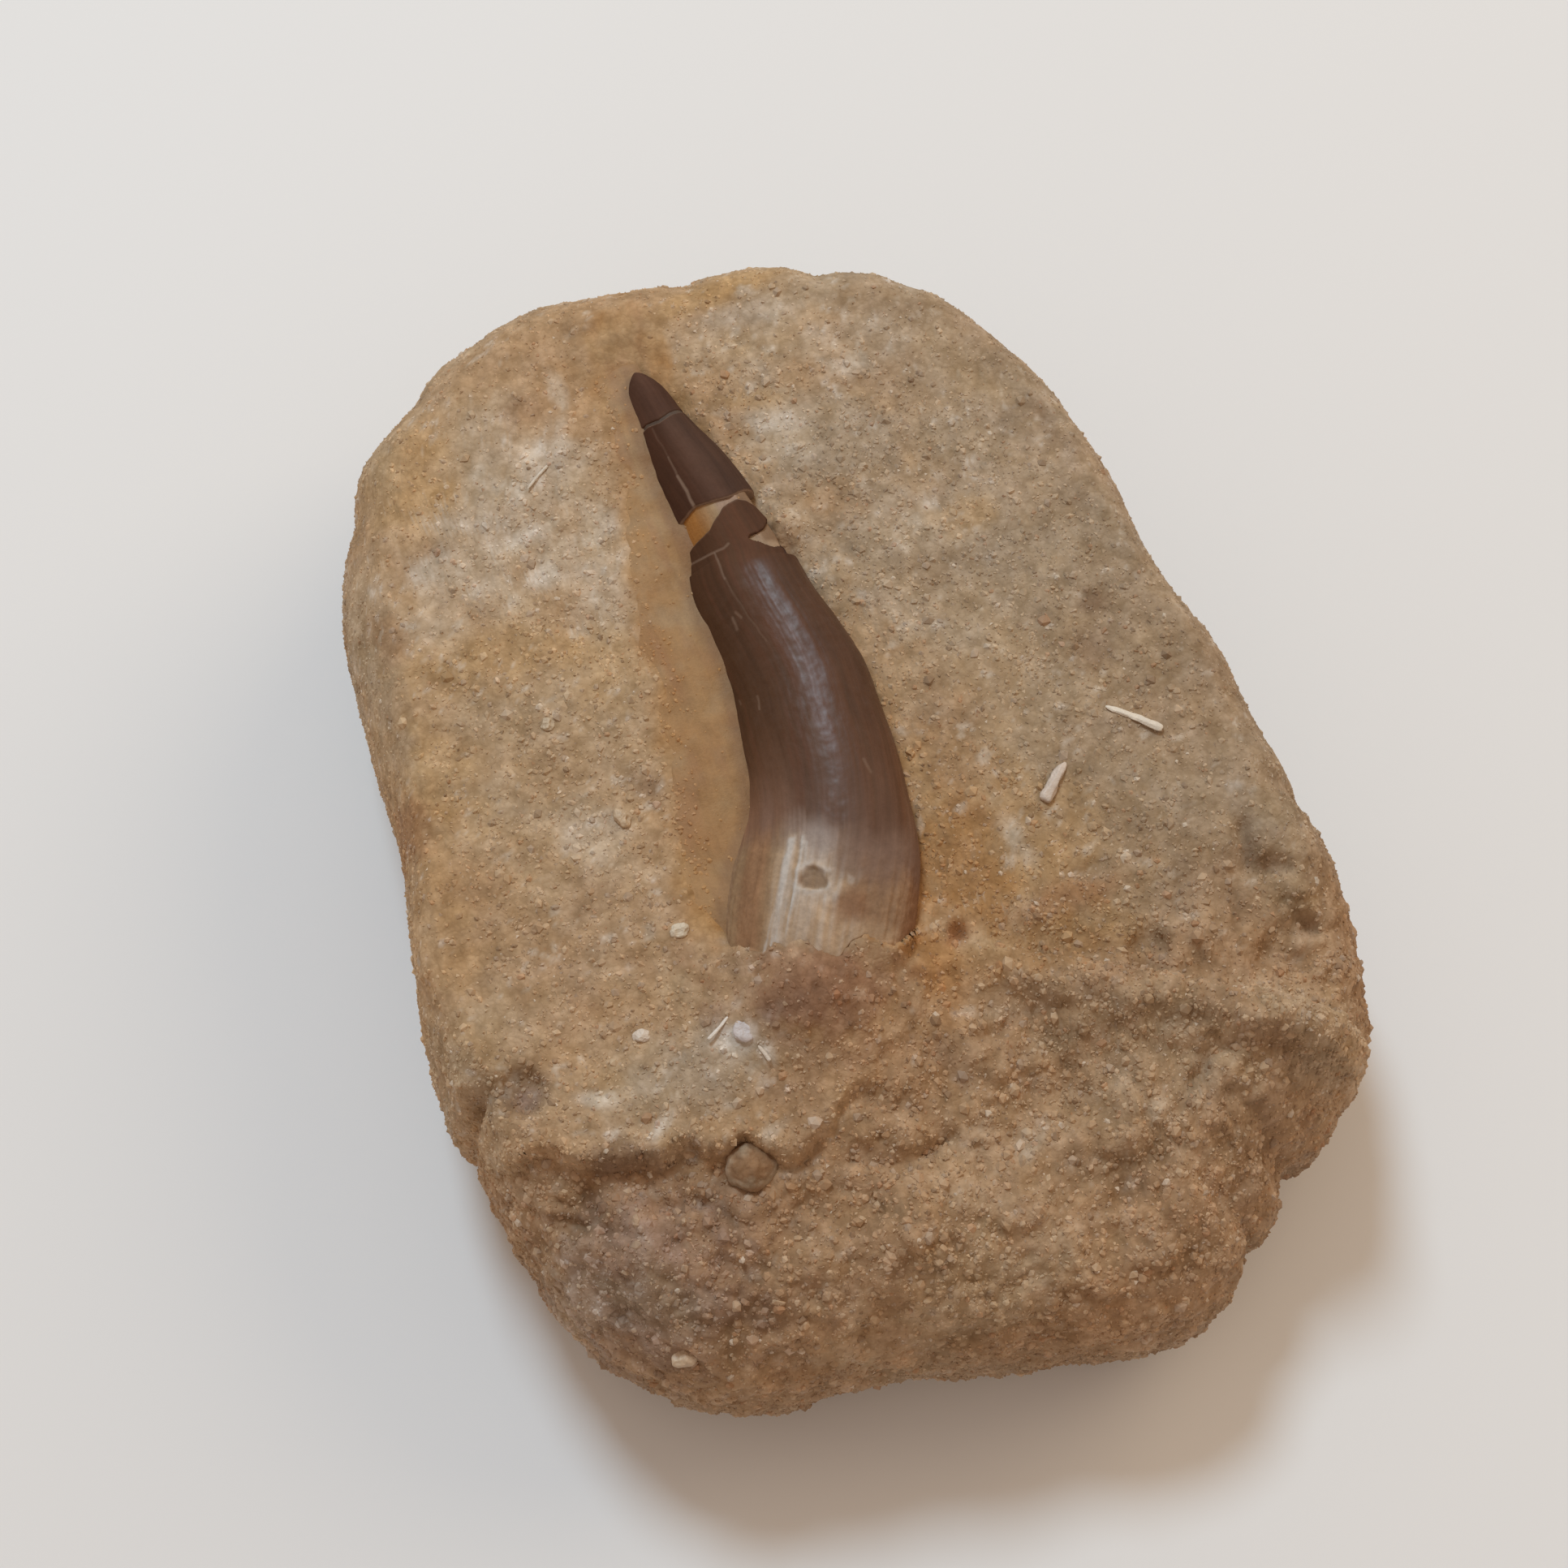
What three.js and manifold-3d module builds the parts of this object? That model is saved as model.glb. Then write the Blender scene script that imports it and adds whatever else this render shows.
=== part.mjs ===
// A fossil plesiosaur tooth lying half sunk in a slab of sandy phosphate rock, with the preparator's putty
// beside it and a few bone splinters in the rock.
// Millimetres, +Z up. The origin is the middle of the flat underside, and +Y runs along the slab's long axis.

import * as THREE from 'three';
import { mergeVertices } from 'three/addons/utils/BufferGeometryUtils.js';
import Module from 'manifold-3d';

const wasm = await Module();
wasm.setup();

// ---------- driving dimensions ----------

const GAP = 0.3; // clearance kept between pieces that touch

// Slab of rock. The outline is a radius for every 15 degrees, counter-clockwise from +X.
const FACE_HEIGHT = 24; // prepared upper face above the table
const RIM_HEIGHT = 9; // where the slab is widest
const TUCK = 5; // how far the underside draws in below the widest line
const RIM_RADII = [
  32, 31.2, 34.3, 38.7, 43, 44, 44.8, 46.8, 45.3, 40.7, 35, 31.7,
  32.2, 34.6, 37.3, 42.2, 44, 41.5, 42.7, 46, 43.7, 43.4, 39, 34.1,
];
const SHOULDER_WIDTHS = [4, 5, 6, 6, 3, 6, 10, 8]; // rounded edge of the face, for every 45 degrees

// Ledge where the prepared face ends and the broken lower third starts: [x, y] along its crest.
const LEDGE = [
  [-37, -14], [-29, -19], [-23, -21.7], [-15, -23.4], [-11.5, -25],
  [-3, -21], [3, -16.5], [12, -15.5], [24, -15], [36, -14.5],
];
const LEDGE_DROP_LEFT = 1.8; // the step is clear on the left
const LEDGE_DROP_RIGHT = 0.3; // and all but gone on the right
const BREAK_SLOPE = 0.2; // fall of the broken third towards its edge
const ROOT_MOUND = { x: -6.4, y: -15, height: 3.8, radius: 5.2 }; // rock that fills the broken root
const PITS = [
  { x: -27.9, y: -15.3, depth: 0.8, radius: 2.2 },
  { x: 26.9, y: -16, depth: 1.3, radius: 2 },
  { x: 29, y: -18.6, depth: 1, radius: 1.6 },
];

// Tooth stations from the tip downwards: x and y of the axis, half width, crest height.
const TIP_STATIONS = [
  [-2.75, 34, 0.25, 24.5], [-2.7, 33.5, 0.75, 24.9], [-2.6, 32.5, 1.3, 25.3], [-2.45, 31.2, 1.65, 25.5],
  [-2.3, 29.65, 1.88, 25.7],
];
const UPPER_STATIONS = [
  [-2.25, 29.3, 1.92, 25.7], [-2, 27.5, 2.32, 26], [-1.6, 25.25, 2.78, 26.3], [-1.2, 23, 3.05, 26.6],
  [-0.95, 21.3, 3.15, 26.7],
];
const KNOB_STATIONS = [
  [0.5, 20.3, 0.5, 26], [0.4, 19.95, 1.3, 26.4], [0.1, 19.1, 1.95, 26.6], [-0.45, 18.2, 2.3, 26.8],
  [-0.85, 17.2, 2.3, 26.9], [-0.8, 14, 3, 27],
];
const CROWN_STATIONS = [
  [-0.55, 16.9, 3.9, 26.9], [-0.75, 15.3, 4.1, 27.3], [-0.5, 12.2, 4.2, 27.6], [-0.15, 9.1, 4.6, 27.9],
  [0.05, 5.85, 5.05, 28.2], [-0.3, 2.65, 5.3, 28.5], [-0.6, -0.4, 5.5, 28.8], [-1.25, -3.5, 5.8, 29],
  [-2.3, -6.4, 6.5, 29.1], [-3.75, -9.1, 6.85, 29], [-5, -11.3, 6.75, 28.6], [-5.7, -12.5, 6.5, 28.2],
];
const AXIS_HEIGHT = 23.2; // height of the tooth's axis
const TOOTH_DEPTH = 4; // how far the tooth reaches below its axis at most
const LEAN_SHARE = 0.3; // the tooth is rolled: its crest lies towards +X by this share of the half width
const LEAN_LIMIT = 1.35; // at most
const ROOT_PIT = { x: -4.4, y: -8.9, z: 29.8, radius: 1.6 }; // small hollow in the root's crest

// Broken edge of the root: angle round the tooth in degrees, and how far the edge reaches there.
const ROOT_EDGE = [
  [0, 1.2], [35, 1.1], [54, 0.65], [68, 0.45], [82, 1.05], [102, 1.6], [111, 0.1], [118, -0.9],
  [129, -0.9], [165, -1.8], [360, 1.2],
];

// Putty band: its left edge, and the line under the tooth that it runs in to.
const PUTTY_LEFT = [
  [-4.2, 39.8], [-5.2, 38], [-5.9, 34.5], [-5.9, 30], [-6.6, 25.5], [-8, 21.5], [-9.3, 15.3], [-10.2, 8.8],
  [-11, 2.7], [-12.4, -3], [-13.2, -7], [-12.8, -9.8],
];
const PUTTY_RIGHT = [
  [-1.9, 39.6], [-1, 38], [-1, 34.5], [-1.2, 30], [-0.8, 25.5], [0.2, 21.5], [0.4, 15.3], [0.3, 8.8],
  [-0.3, 2.7], [-1.4, -3], [-3.6, -8], [-7.6, -10.6],
];
const PUTTY_DEPTH = 2.4;
const PUTTY_PROUD = 0.25; // how far it stands above the rock
const SADDLE_STATIONS = [
  [-1.1, 22.4, 2.7, 26], [-0.9, 20.8, 2.95, 26.2], [-0.65, 19, 3.1, 26.3], [-0.55, 17, 3.5, 26.5],
  [-0.65, 14.5, 3.7, 26.8],
];

// Bone splinters: both ends, greatest width.
const SPLINTERS = {
  bone_splinter_long: { from: [20.3, -2.8], to: [23.5, -5.8], width: 0.8 },
  bone_splinter_short: { from: [16.1, -5.7], to: [13.6, -7.9], width: 1.1 },
  bone_splinter_needle: { from: [-12.8, -15.3], to: [-14.7, -16.4], width: 0.5 },
};

// Chips and the pebble: place, length, width and height, turn about +Z in degrees.
const CHIPS = {
  bone_flake: { at: [-12.1, -16.7], size: [1.9, 1.5, 0.9], turn: 120 },
  bone_chip_root: { at: [-13.9, -8.2], size: [1.6, 1.1, 0.9], turn: 20 },
  bone_chip_lower: { at: [-18.9, -14.4], size: [1.5, 0.9, 0.8], turn: -30 },
  bone_chip_left: { at: [-17.7, 9.5], size: [1.2, 0.9, 0.8], turn: 40 },
  bone_chip_middle: { at: [-15, 1.1], size: [1.7, 1.1, 0.9], turn: 70 },
  bone_chip_bottom: { at: [-23.2, -35], size: [1.9, 1.5, 1.2], turn: -15 },
  phosphate_pebble: { at: [-14.7, -25], size: [3.4, 3, 2.6], turn: 10 },
};

// ---------- materials ----------

function finish(color, roughness) {
  return new THREE.MeshStandardMaterial({ color, roughness, metalness: 0 });
}

const COLOURS = {
  rock: 0x9a7d5e,
  putty: 0xa5804f,
  tooth: 0x4b3026,
  bone: 0xcdb9a5,
  pebble: 0x7c6450,
};

// ---------- numbers ----------

function clamp01(t) {
  return Math.min(Math.max(t, 0), 1);
}

function smooth(t) {
  const c = clamp01(t);
  return c * c * (3 - 2 * c);
}

// Catmull-Rom value between p1 and p2.
function cubic(p0, p1, p2, p3, t) {
  const a = 2 * p1;
  const b = p2 - p0;
  const c = 2 * p0 - 5 * p1 + 4 * p2 - p3;
  const d = 3 * p1 - p0 - 3 * p2 + p3;
  return 0.5 * (a + b * t + c * t * t + d * t * t * t);
}

// Value of a closed list of equally spaced numbers at an angle.
function around(values, angle) {
  const n = values.length;
  const place = ((angle / (2 * Math.PI)) * n + n) % n;
  const i = Math.floor(place);
  const pick = (k) => values[(i + k + n) % n];
  return cubic(pick(-1), pick(0), pick(1), pick(2), place - i);
}

// Rows of numbers, resampled to count rows along a smooth curve through them.
function resample(rows, count) {
  const last = rows.length - 1;
  const result = [];
  for (let k = 0; k < count; k += 1) {
    const place = (k / (count - 1)) * last;
    const i = Math.min(Math.floor(place), last - 1);
    const pick = (j) => rows[Math.min(Math.max(i + j, 0), last)];
    result.push(rows[0].map((_, c) => cubic(pick(-1)[c], pick(0)[c], pick(1)[c], pick(2)[c], place - i)));
  }
  return result;
}

// Height at x of an open line of [x, height] points, eased between them.
function along(line, x) {
  let i = 0;
  while (i < line.length - 2 && line[i + 1][0] < x) {
    i += 1;
  }
  const [x0, y0] = line[i];
  const [x1, y1] = line[i + 1];
  return y0 + (y1 - y0) * smooth((x - x0) / (x1 - x0));
}

// ---------- the rock's surface ----------

// Gentle unevenness, about half a millimetre either way.
function lumps(x, y) {
  const broad = 0.5 * Math.sin(0.23 * x + 0.11 * y + 0.6) * Math.cos(0.19 * y - 0.07 * x);
  const close = 0.35 * Math.sin(0.41 * x - 0.33 * y + 2.1) * Math.sin(0.29 * x + 0.37 * y);
  return broad + close;
}

function bump(x, y, { x: cx, y: cy, radius }) {
  return Math.exp(-((x - cx) ** 2 + (y - cy) ** 2) / radius ** 2);
}

// Height of the face before its edge is rounded.
function faceHeight(x, y) {
  const beyond = Math.max(along(LEDGE, x) - y, 0);
  const broken = smooth(beyond / 6);
  const drop = LEDGE_DROP_RIGHT + (LEDGE_DROP_LEFT - LEDGE_DROP_RIGHT) * smooth((-4 - x) / 8);
  const pits = PITS.reduce((sum, pit) => sum + pit.depth * bump(x, y, pit), 0);
  const raised = ROOT_MOUND.height * bump(x, y, ROOT_MOUND) - pits;
  return FACE_HEIGHT + lumps(x, y) * (0.6 + 1.2 * broken) + raised - drop * smooth(beyond / 1.2)
    - BREAK_SLOPE * beyond;
}

// Height of the finished rock at a place in plan.
function rockHeight(x, y) {
  const angle = Math.atan2(y, x);
  const width = around(SHOULDER_WIDTHS, angle);
  const outward = clamp01((Math.hypot(x, y) - around(RIM_RADII, angle) + width) / width);
  return RIM_HEIGHT + (faceHeight(x, y) - RIM_HEIGHT) * Math.sqrt(1 - outward * outward);
}

// ---------- closed bodies ----------

// A closed skin over rings of points, with a point to close each end.
function skin(rings, startPole, endPole) {
  const size = rings[0].length;
  const points = [startPole, ...rings.flat(), endPole];
  const index = [];
  const at = (ring, k) => 1 + ring * size + ((k + size) % size);
  const end = points.length - 1;
  for (let k = 0; k < size; k += 1) {
    index.push(0, at(0, k), at(0, k + 1));
    for (let ring = 0; ring < rings.length - 1; ring += 1) {
      index.push(at(ring, k), at(ring + 1, k), at(ring + 1, k + 1));
      index.push(at(ring, k), at(ring + 1, k + 1), at(ring, k + 1));
    }
    index.push(end, at(rings.length - 1, k + 1), at(rings.length - 1, k));
  }
  const geometry = new THREE.BufferGeometry();
  geometry.setAttribute('position', new THREE.Float32BufferAttribute(points.flat(), 3));
  geometry.setIndex(index);
  return geometry;
}

// Average of a ring's points, which closes the ring.
function middle(ring) {
  return [0, 1, 2].map((c) => ring.reduce((sum, point) => sum + point[c], 0) / ring.length);
}

function toSolid(geometry) {
  const plain = geometry.clone();
  plain.deleteAttribute('normal');
  plain.deleteAttribute('uv');
  const merged = mergeVertices(plain, 1e-4);
  const mesh = new wasm.Mesh({
    numProp: 3,
    vertProperties: new Float32Array(merged.attributes.position.array),
    triVerts: new Uint32Array(merged.index.array),
  });
  return new wasm.Manifold(mesh);
}

function toMesh(name, solid, color, roughness) {
  const raw = solid.getMesh();
  const geometry = new THREE.BufferGeometry();
  geometry.setAttribute('position', new THREE.Float32BufferAttribute(raw.vertProperties, 3));
  geometry.setIndex(new THREE.Uint32BufferAttribute(raw.triVerts, 1));
  geometry.computeVertexNormals();
  const mesh = new THREE.Mesh(geometry, finish(color, roughness));
  mesh.name = name;
  return mesh;
}

// ---------- slab of rock ----------

function ringAt(count, pointAt) {
  return Array.from({ length: count }, (_, k) => pointAt((k / count) * 2 * Math.PI));
}

function rockBody() {
  const sectors = 70;
  const faceRings = 12;
  const shoulderRings = 5;
  const underRings = 3;
  const radiusAt = (angle) => around(RIM_RADII, angle);
  const innerAt = (angle) => radiusAt(angle) - around(SHOULDER_WIDTHS, angle);
  const onTop = (angle, radius) => {
    const x = radius * Math.cos(angle);
    const y = radius * Math.sin(angle);
    return [x, y, rockHeight(x, y)];
  };
  const rings = [];
  for (let k = 1; k <= faceRings; k += 1) {
    rings.push(ringAt(sectors, (a) => onTop(a, innerAt(a) * (k / faceRings))));
  }
  for (let k = 1; k <= shoulderRings; k += 1) {
    const reach = Math.sin((k / shoulderRings) * (Math.PI / 2));
    rings.push(ringAt(sectors, (a) => onTop(a, innerAt(a) + (radiusAt(a) - innerAt(a)) * reach)));
  }
  for (let k = 1; k <= underRings; k += 1) {
    const turn = (k / underRings) * (Math.PI / 2);
    const height = k === underRings ? 0 : RIM_HEIGHT * (1 - Math.sin(turn));
    rings.push(ringAt(sectors, (a) => {
      const radius = radiusAt(a) - TUCK * (1 - Math.cos(turn));
      return [radius * Math.cos(a), radius * Math.sin(a), height];
    }));
  }
  return skin(rings, [0, 0, rockHeight(0, 0)], [0, 0, 0]);
}

// ---------- tooth ----------

const END_ROWS = 5; // sections over which the shape of a broken end fades out

// A tapering body on an axis that curves in plan. Each section is an ellipse, higher above the axis than
// below it, with its crest leaning towards +X; startShift and endShift move points of the end sections
// along the axis to shape a broken end.
function toothBody(stations, rowCount, startShift, endShift, grow = 0) {
  const sides = 20;
  const rows = resample(stations, rowCount);
  const heading = rows.map((_, i) => {
    const before = rows[Math.max(i - 1, 0)];
    const after = rows[Math.min(i + 1, rowCount - 1)];
    const length = Math.hypot(after[0] - before[0], after[1] - before[1]);
    return [(after[0] - before[0]) / length, (after[1] - before[1]) / length];
  });
  const ringFor = (i) => {
    const [x, y, half, crest] = rows[i];
    const [dx, dy] = heading[i];
    const first = smooth(1 - i / END_ROWS);
    const last = smooth(1 - (rowCount - 1 - i) / END_ROWS);
    const below = Math.min(TOOTH_DEPTH, half) + grow;
    const endGrow = grow * 1.8; // ragged ends get more clearance
    const lean = Math.min(LEAN_SHARE * half, LEAN_LIMIT);
    return ringAt(sides, (angle) => {
      const side = (half + grow) * Math.cos(angle) - lean * Math.max(Math.sin(angle), 0);
      const rise = Math.sin(angle) * (angle < Math.PI ? crest - AXIS_HEIGHT + grow : below);
      const shift = first * (startShift(angle) - endGrow) + last * (endShift(angle) + endGrow);
      return [x + dy * side + dx * shift, y - dx * side + dy * shift, AXIS_HEIGHT + rise];
    });
  };
  const rings = rows.map((_, i) => ringFor(i));
  return skin(rings, middle(rings[0]), middle(rings[rowCount - 1]));
}

const straight = () => 0;

// Lower end of the upper crown: a nearly straight break, a little longer towards -X.
function upperCrownEnd(angle) {
  return 0.3 + 0.2 * Math.cos(angle) - 0.15 * Math.max(Math.sin(angle), 0);
}

// Upper end of the main crown: a slanting shoulder, higher towards -X.
function crownShoulder(angle) {
  return 0.4 - 1.8 * Math.cos(angle);
}

// Broken root end, along ROOT_EDGE.
function rootEnd(angle) {
  return along(ROOT_EDGE, THREE.MathUtils.radToDeg(angle));
}

// Each fragment is one or more tapering bodies joined together.
const FRAGMENTS = {
  tooth_tip: [{ stations: TIP_STATIONS, rows: 8, start: straight, end: straight }],
  tooth_upper_crown: [{ stations: UPPER_STATIONS, rows: 13, start: straight, end: upperCrownEnd }],
  tooth_crown_and_root: [
    { stations: CROWN_STATIONS, rows: 23, start: crownShoulder, end: rootEnd },
    { stations: KNOB_STATIONS, rows: 9, start: straight, end: straight },
  ],
};

function fragment(bodies, grow = 0) {
  const solids = bodies.map(({ stations, rows, start, end }) => (
    toSolid(toothBody(stations, rows, start, end, grow))
  ));
  return solids.reduce((sum, solid) => sum.add(solid));
}

// ---------- putty ----------

function puttyBand(grow = 0) {
  const columns = 5;
  const rowCount = 22;
  const left = resample(PUTTY_LEFT, rowCount);
  const right = resample(PUTTY_RIGHT, rowCount);
  const stretch = (from, to, t) => from + (to - from) * t;
  const sectionAt = (i, endways) => {
    const spread = grow / Math.hypot(right[i][0] - left[i][0], right[i][1] - left[i][1]);
    const across = Array.from({ length: columns }, (_, k) => stretch(-spread, 1 + spread, k / (columns - 1)));
    const place = (t, lift) => {
      const x = stretch(left[i][0], right[i][0], t);
      const y = stretch(left[i][1], right[i][1], t) + endways * grow;
      const fillet = 0.9 * clamp01(t) * clamp01(t);
      return [x, y, rockHeight(x, y) + PUTTY_PROUD + fillet + lift];
    };
    const upper = across.map((t) => place(t, grow * 4));
    const lower = [...across].reverse().map((t) => place(t, -PUTTY_DEPTH - grow));
    return [...upper, ...lower];
  };
  const endwaysAt = (i) => (i === 0 ? 1 : i === rowCount - 1 ? -1 : 0);
  const sections = left.map((_, i) => sectionAt(i, endwaysAt(i)));
  return skin(sections, middle(sections[0]), middle(sections[rowCount - 1]));
}

// Putty that fills the break, shaped like the missing stretch of tooth but a little lower.
function puttySaddle(grow = 0) {
  return toothBody(SADDLE_STATIONS, 6, straight, straight, grow);
}

function puttySolid(grow = 0) {
  return toSolid(puttyBand(grow)).add(toSolid(puttySaddle(grow)));
}

// ---------- splinters, chips and pebble ----------

function splinterBody({ from, to, width }, grow = 0) {
  const rows = [[0, 0.25], [0.2, 0.8], [0.5, 1], [0.8, 0.85], [1, 0.3]];
  const length = Math.hypot(to[0] - from[0], to[1] - from[1]);
  const dx = (to[0] - from[0]) / length;
  const dy = (to[1] - from[1]) / length;
  const centreAt = (t) => {
    const x = from[0] + dx * (length * t + grow * (2 * t - 1));
    const y = from[1] + dy * (length * t + grow * (2 * t - 1));
    return [x, y, rockHeight(x, y) + 0.15];
  };
  const rings = rows.map(([t, share]) => {
    const [x, y, z] = centreAt(t);
    const half = (width / 2) * share + grow;
    return ringAt(6, (angle) => [
      x + dy * half * Math.cos(angle),
      y - dx * half * Math.cos(angle),
      z + (half * 0.8 + grow * 0.2) * Math.sin(angle),
    ]);
  });
  return skin(rings, centreAt(0), centreAt(1));
}

// A knobbly lump: a faceted ball stretched to size, with a fixed unevenness.
function chipBody({ at, size, turn }, grow = 0) {
  const geometry = new THREE.IcosahedronGeometry(1, size[0] > 3 ? 2 : 1);
  const position = geometry.attributes.position;
  const point = new THREE.Vector3();
  for (let i = 0; i < position.count; i += 1) {
    point.fromBufferAttribute(position, i);
    const swell = Math.sin(3.1 * point.x + 2.3 * point.y + at[0]) * Math.cos(2.7 * point.z + at[1]);
    point.multiplyScalar(1 + 0.12 * swell);
    position.setXYZ(
      i,
      point.x * (size[0] / 2 + grow),
      point.y * (size[1] / 2 + grow),
      point.z * (size[2] / 2 + grow),
    );
  }
  geometry.rotateZ(THREE.MathUtils.degToRad(turn));
  geometry.translate(at[0], at[1], rockHeight(at[0], at[1]) + size[2] * 0.05);
  return geometry;
}

// ---------- the whole block ----------

const group = new THREE.Group();
const pockets = [puttySolid(GAP)];

const toothSolids = {};
for (const [name, shape] of Object.entries(FRAGMENTS)) {
  toothSolids[name] = fragment(shape);
  pockets.push(fragment(shape, GAP));
}
const pit = new THREE.IcosahedronGeometry(ROOT_PIT.radius, 2);
pit.translate(ROOT_PIT.x, ROOT_PIT.y, ROOT_PIT.z);
toothSolids.tooth_crown_and_root = toothSolids.tooth_crown_and_root.subtract(toSolid(pit));

let putty = puttySolid();
for (const shape of Object.values(FRAGMENTS)) {
  putty = putty.subtract(fragment(shape, GAP));
}

const bones = {};
for (const [name, shape] of Object.entries(SPLINTERS)) {
  bones[name] = toSolid(splinterBody(shape));
  pockets.push(toSolid(splinterBody(shape, GAP)));
}
for (const [name, shape] of Object.entries(CHIPS)) {
  bones[name] = toSolid(chipBody(shape));
  pockets.push(toSolid(chipBody(shape, GAP)));
}

let rock = toSolid(rockBody());
for (const pocket of pockets) {
  rock = rock.subtract(pocket);
}

group.add(toMesh('matrix_stone', rock, COLOURS.rock, 0.95));
group.add(toMesh('filler_putty', putty, COLOURS.putty, 0.8));
for (const [name, solid] of Object.entries(toothSolids)) {
  group.add(toMesh(name, solid, COLOURS.tooth, 0.3));
}
for (const [name, solid] of Object.entries(bones)) {
  const color = name === 'phosphate_pebble' ? COLOURS.pebble : COLOURS.bone;
  group.add(toMesh(name, solid, color, 0.7));
}

export default group;
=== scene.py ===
"""A fossil plesiosaur tooth lying half sunk in a slab of sandy phosphate rock.

The slab, the preparator's putty, the three pieces of the tooth, the bone splinters and the sand grains are
surfaces worked out with numpy. Shapes are worked out in millimetres, in the frame's axes, and turned into
metres when a mesh is made.
"""

import itertools
import math

import bpy
import numpy as np
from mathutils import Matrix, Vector


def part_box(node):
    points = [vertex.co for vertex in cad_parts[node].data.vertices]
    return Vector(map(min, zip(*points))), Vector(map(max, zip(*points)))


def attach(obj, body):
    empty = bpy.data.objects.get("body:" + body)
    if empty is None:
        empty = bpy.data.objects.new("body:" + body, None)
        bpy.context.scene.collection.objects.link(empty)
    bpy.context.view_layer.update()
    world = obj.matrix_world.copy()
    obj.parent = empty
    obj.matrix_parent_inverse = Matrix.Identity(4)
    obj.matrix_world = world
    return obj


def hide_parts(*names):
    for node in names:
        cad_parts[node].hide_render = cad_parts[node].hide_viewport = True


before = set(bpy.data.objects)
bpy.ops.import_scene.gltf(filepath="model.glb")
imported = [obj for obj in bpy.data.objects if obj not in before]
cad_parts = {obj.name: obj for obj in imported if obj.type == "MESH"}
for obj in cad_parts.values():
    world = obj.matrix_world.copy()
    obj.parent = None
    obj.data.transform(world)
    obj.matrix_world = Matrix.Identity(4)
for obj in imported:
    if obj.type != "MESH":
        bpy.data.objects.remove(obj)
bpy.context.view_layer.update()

MM = 0.001  # a millimetre in metres

# ---------- driving dimensions, in millimetres ----------

# Slab: heights of its face and of its widest line, how far the foot is tucked in, radius of its outline for
# every 15 degrees counter-clockwise from +X, and width of the rounded shoulder for every 45 degrees.
FACE_HEIGHT = 24
RIM_HEIGHT = 9
TUCK = 5
RIM_RADII = [
    32, 31.2, 34.3, 38.7, 43, 44, 44.8, 46.8, 45.3, 40.7, 35, 31.7,
    32.2, 34.6, 37.3, 42.2, 44, 41.5, 42.7, 46, 43.7, 43.4, 39, 34.1,
]
SHOULDER_WIDTHS = [4, 5, 6, 6, 3, 6, 10, 8]
RIM_NICKS = [  # angle in degrees, depth, width in degrees
    (85, 0.55, 2.2), (115.5, 0.6, 3), (124, -0.35, 3), (202, -0.4, 2), (71, 0.5, 1.8), (61, 0.35, 2),
    (205.4, 0.65, 1.3), (301, 1.1, 2.2), (293, 0.7, 1.4), (128, 0.5, 2.5), (338, 0.6, 2),
]

# Ledge where the prepared face ends and the broken lower third starts: (x, y) along its crest.
LEDGE = [
    (-37, -14), (-29, -19), (-23, -21.7), (-15, -23.4), (-11.5, -25),
    (-3, -21), (3, -16.5), (12, -15.5), (24, -15), (36, -14.5),
]
LEDGE_DROP = (0.3, 1.8)  # on the right, on the left
BREAK_SLOPE = 0.2  # how much the broken third falls for each millimetre beyond the ledge

# Rises, pits and flat-floored hollows of the rock: x, y, height or depth, radius.
RISES = [(-6.4, -15, 3.8, 5.2), (3.6, 18.2, 1.5, 1.7), (5.3, 13.2, 0.5, 1.2), (6.6, -8, 0.5, 2.2)]
PITS = [
    (30.2, -18.9, 0.5, 1.1), (4.3, -15, 0.7, 0.8), (-25.6, -28.4, 0.5, 1.6), (-12.4, 2.7, 0.3, 0.8),
    (22.8, 5.2, 0.3, 1.1), (25.2, 20.6, 0.35, 1), (28.4, -22.1, 0.5, 1.2), (18.1, -25.6, 0.7, 1.1),
    (24.5, -30.6, 0.45, 1.2), (24.3, -33.9, 0.5, 1.2), (23.4, -28.6, 0.25, 0.9), (0.3, -22.4, 0.6, 1.1),
    (1, -24.7, 0.5, 0.9), (10.5, -24.7, 0.3, 1.2), (-5.4, -23.6, 0.4, 1.2), (-27.6, -24.4, 0.45, 1.5),
    (-20.4, -24.6, 0.4, 1.7), (-14.9, -25.6, 0.25, 2.5), (-11, -25.4, 0.6, 1.2), (-13.5, -34, 0.7, 1.1),
    (-10.9, -34.9, 0.6, 0.9), (-30.9, -14.2, 0.5, 1.1),
]
HOLLOWS = [(-27.9, -15.4, 0.8, 1.8), (-26.5, -31.5, 0.7, 1.4), (16.5, -20.5, 0.6, 1.6)]
GROOVES = [  # points along it, depth, half width
    ([(26.2, -14.5), (25.7, -17.1), (28.2, -18)], 0.9, 0.7),
    ([(26.2, -21.6), (28.6, -22.2)], 0.5, 0.7),
    ([(-22, -25.6), (-18.4, -26.4), (-17, -28)], 0.6, 0.6),
    ([(3.4, -22.4), (7, -21.6), (12, -22.6)], 0.45, 0.5),
    ([(16, -30), (18.4, -28.2), (21.5, -28.8)], 0.8, 0.6),
    ([(-8, -27), (-4.6, -28.6), (-1.4, -27.8)], 0.8, 0.6),
]

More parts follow.
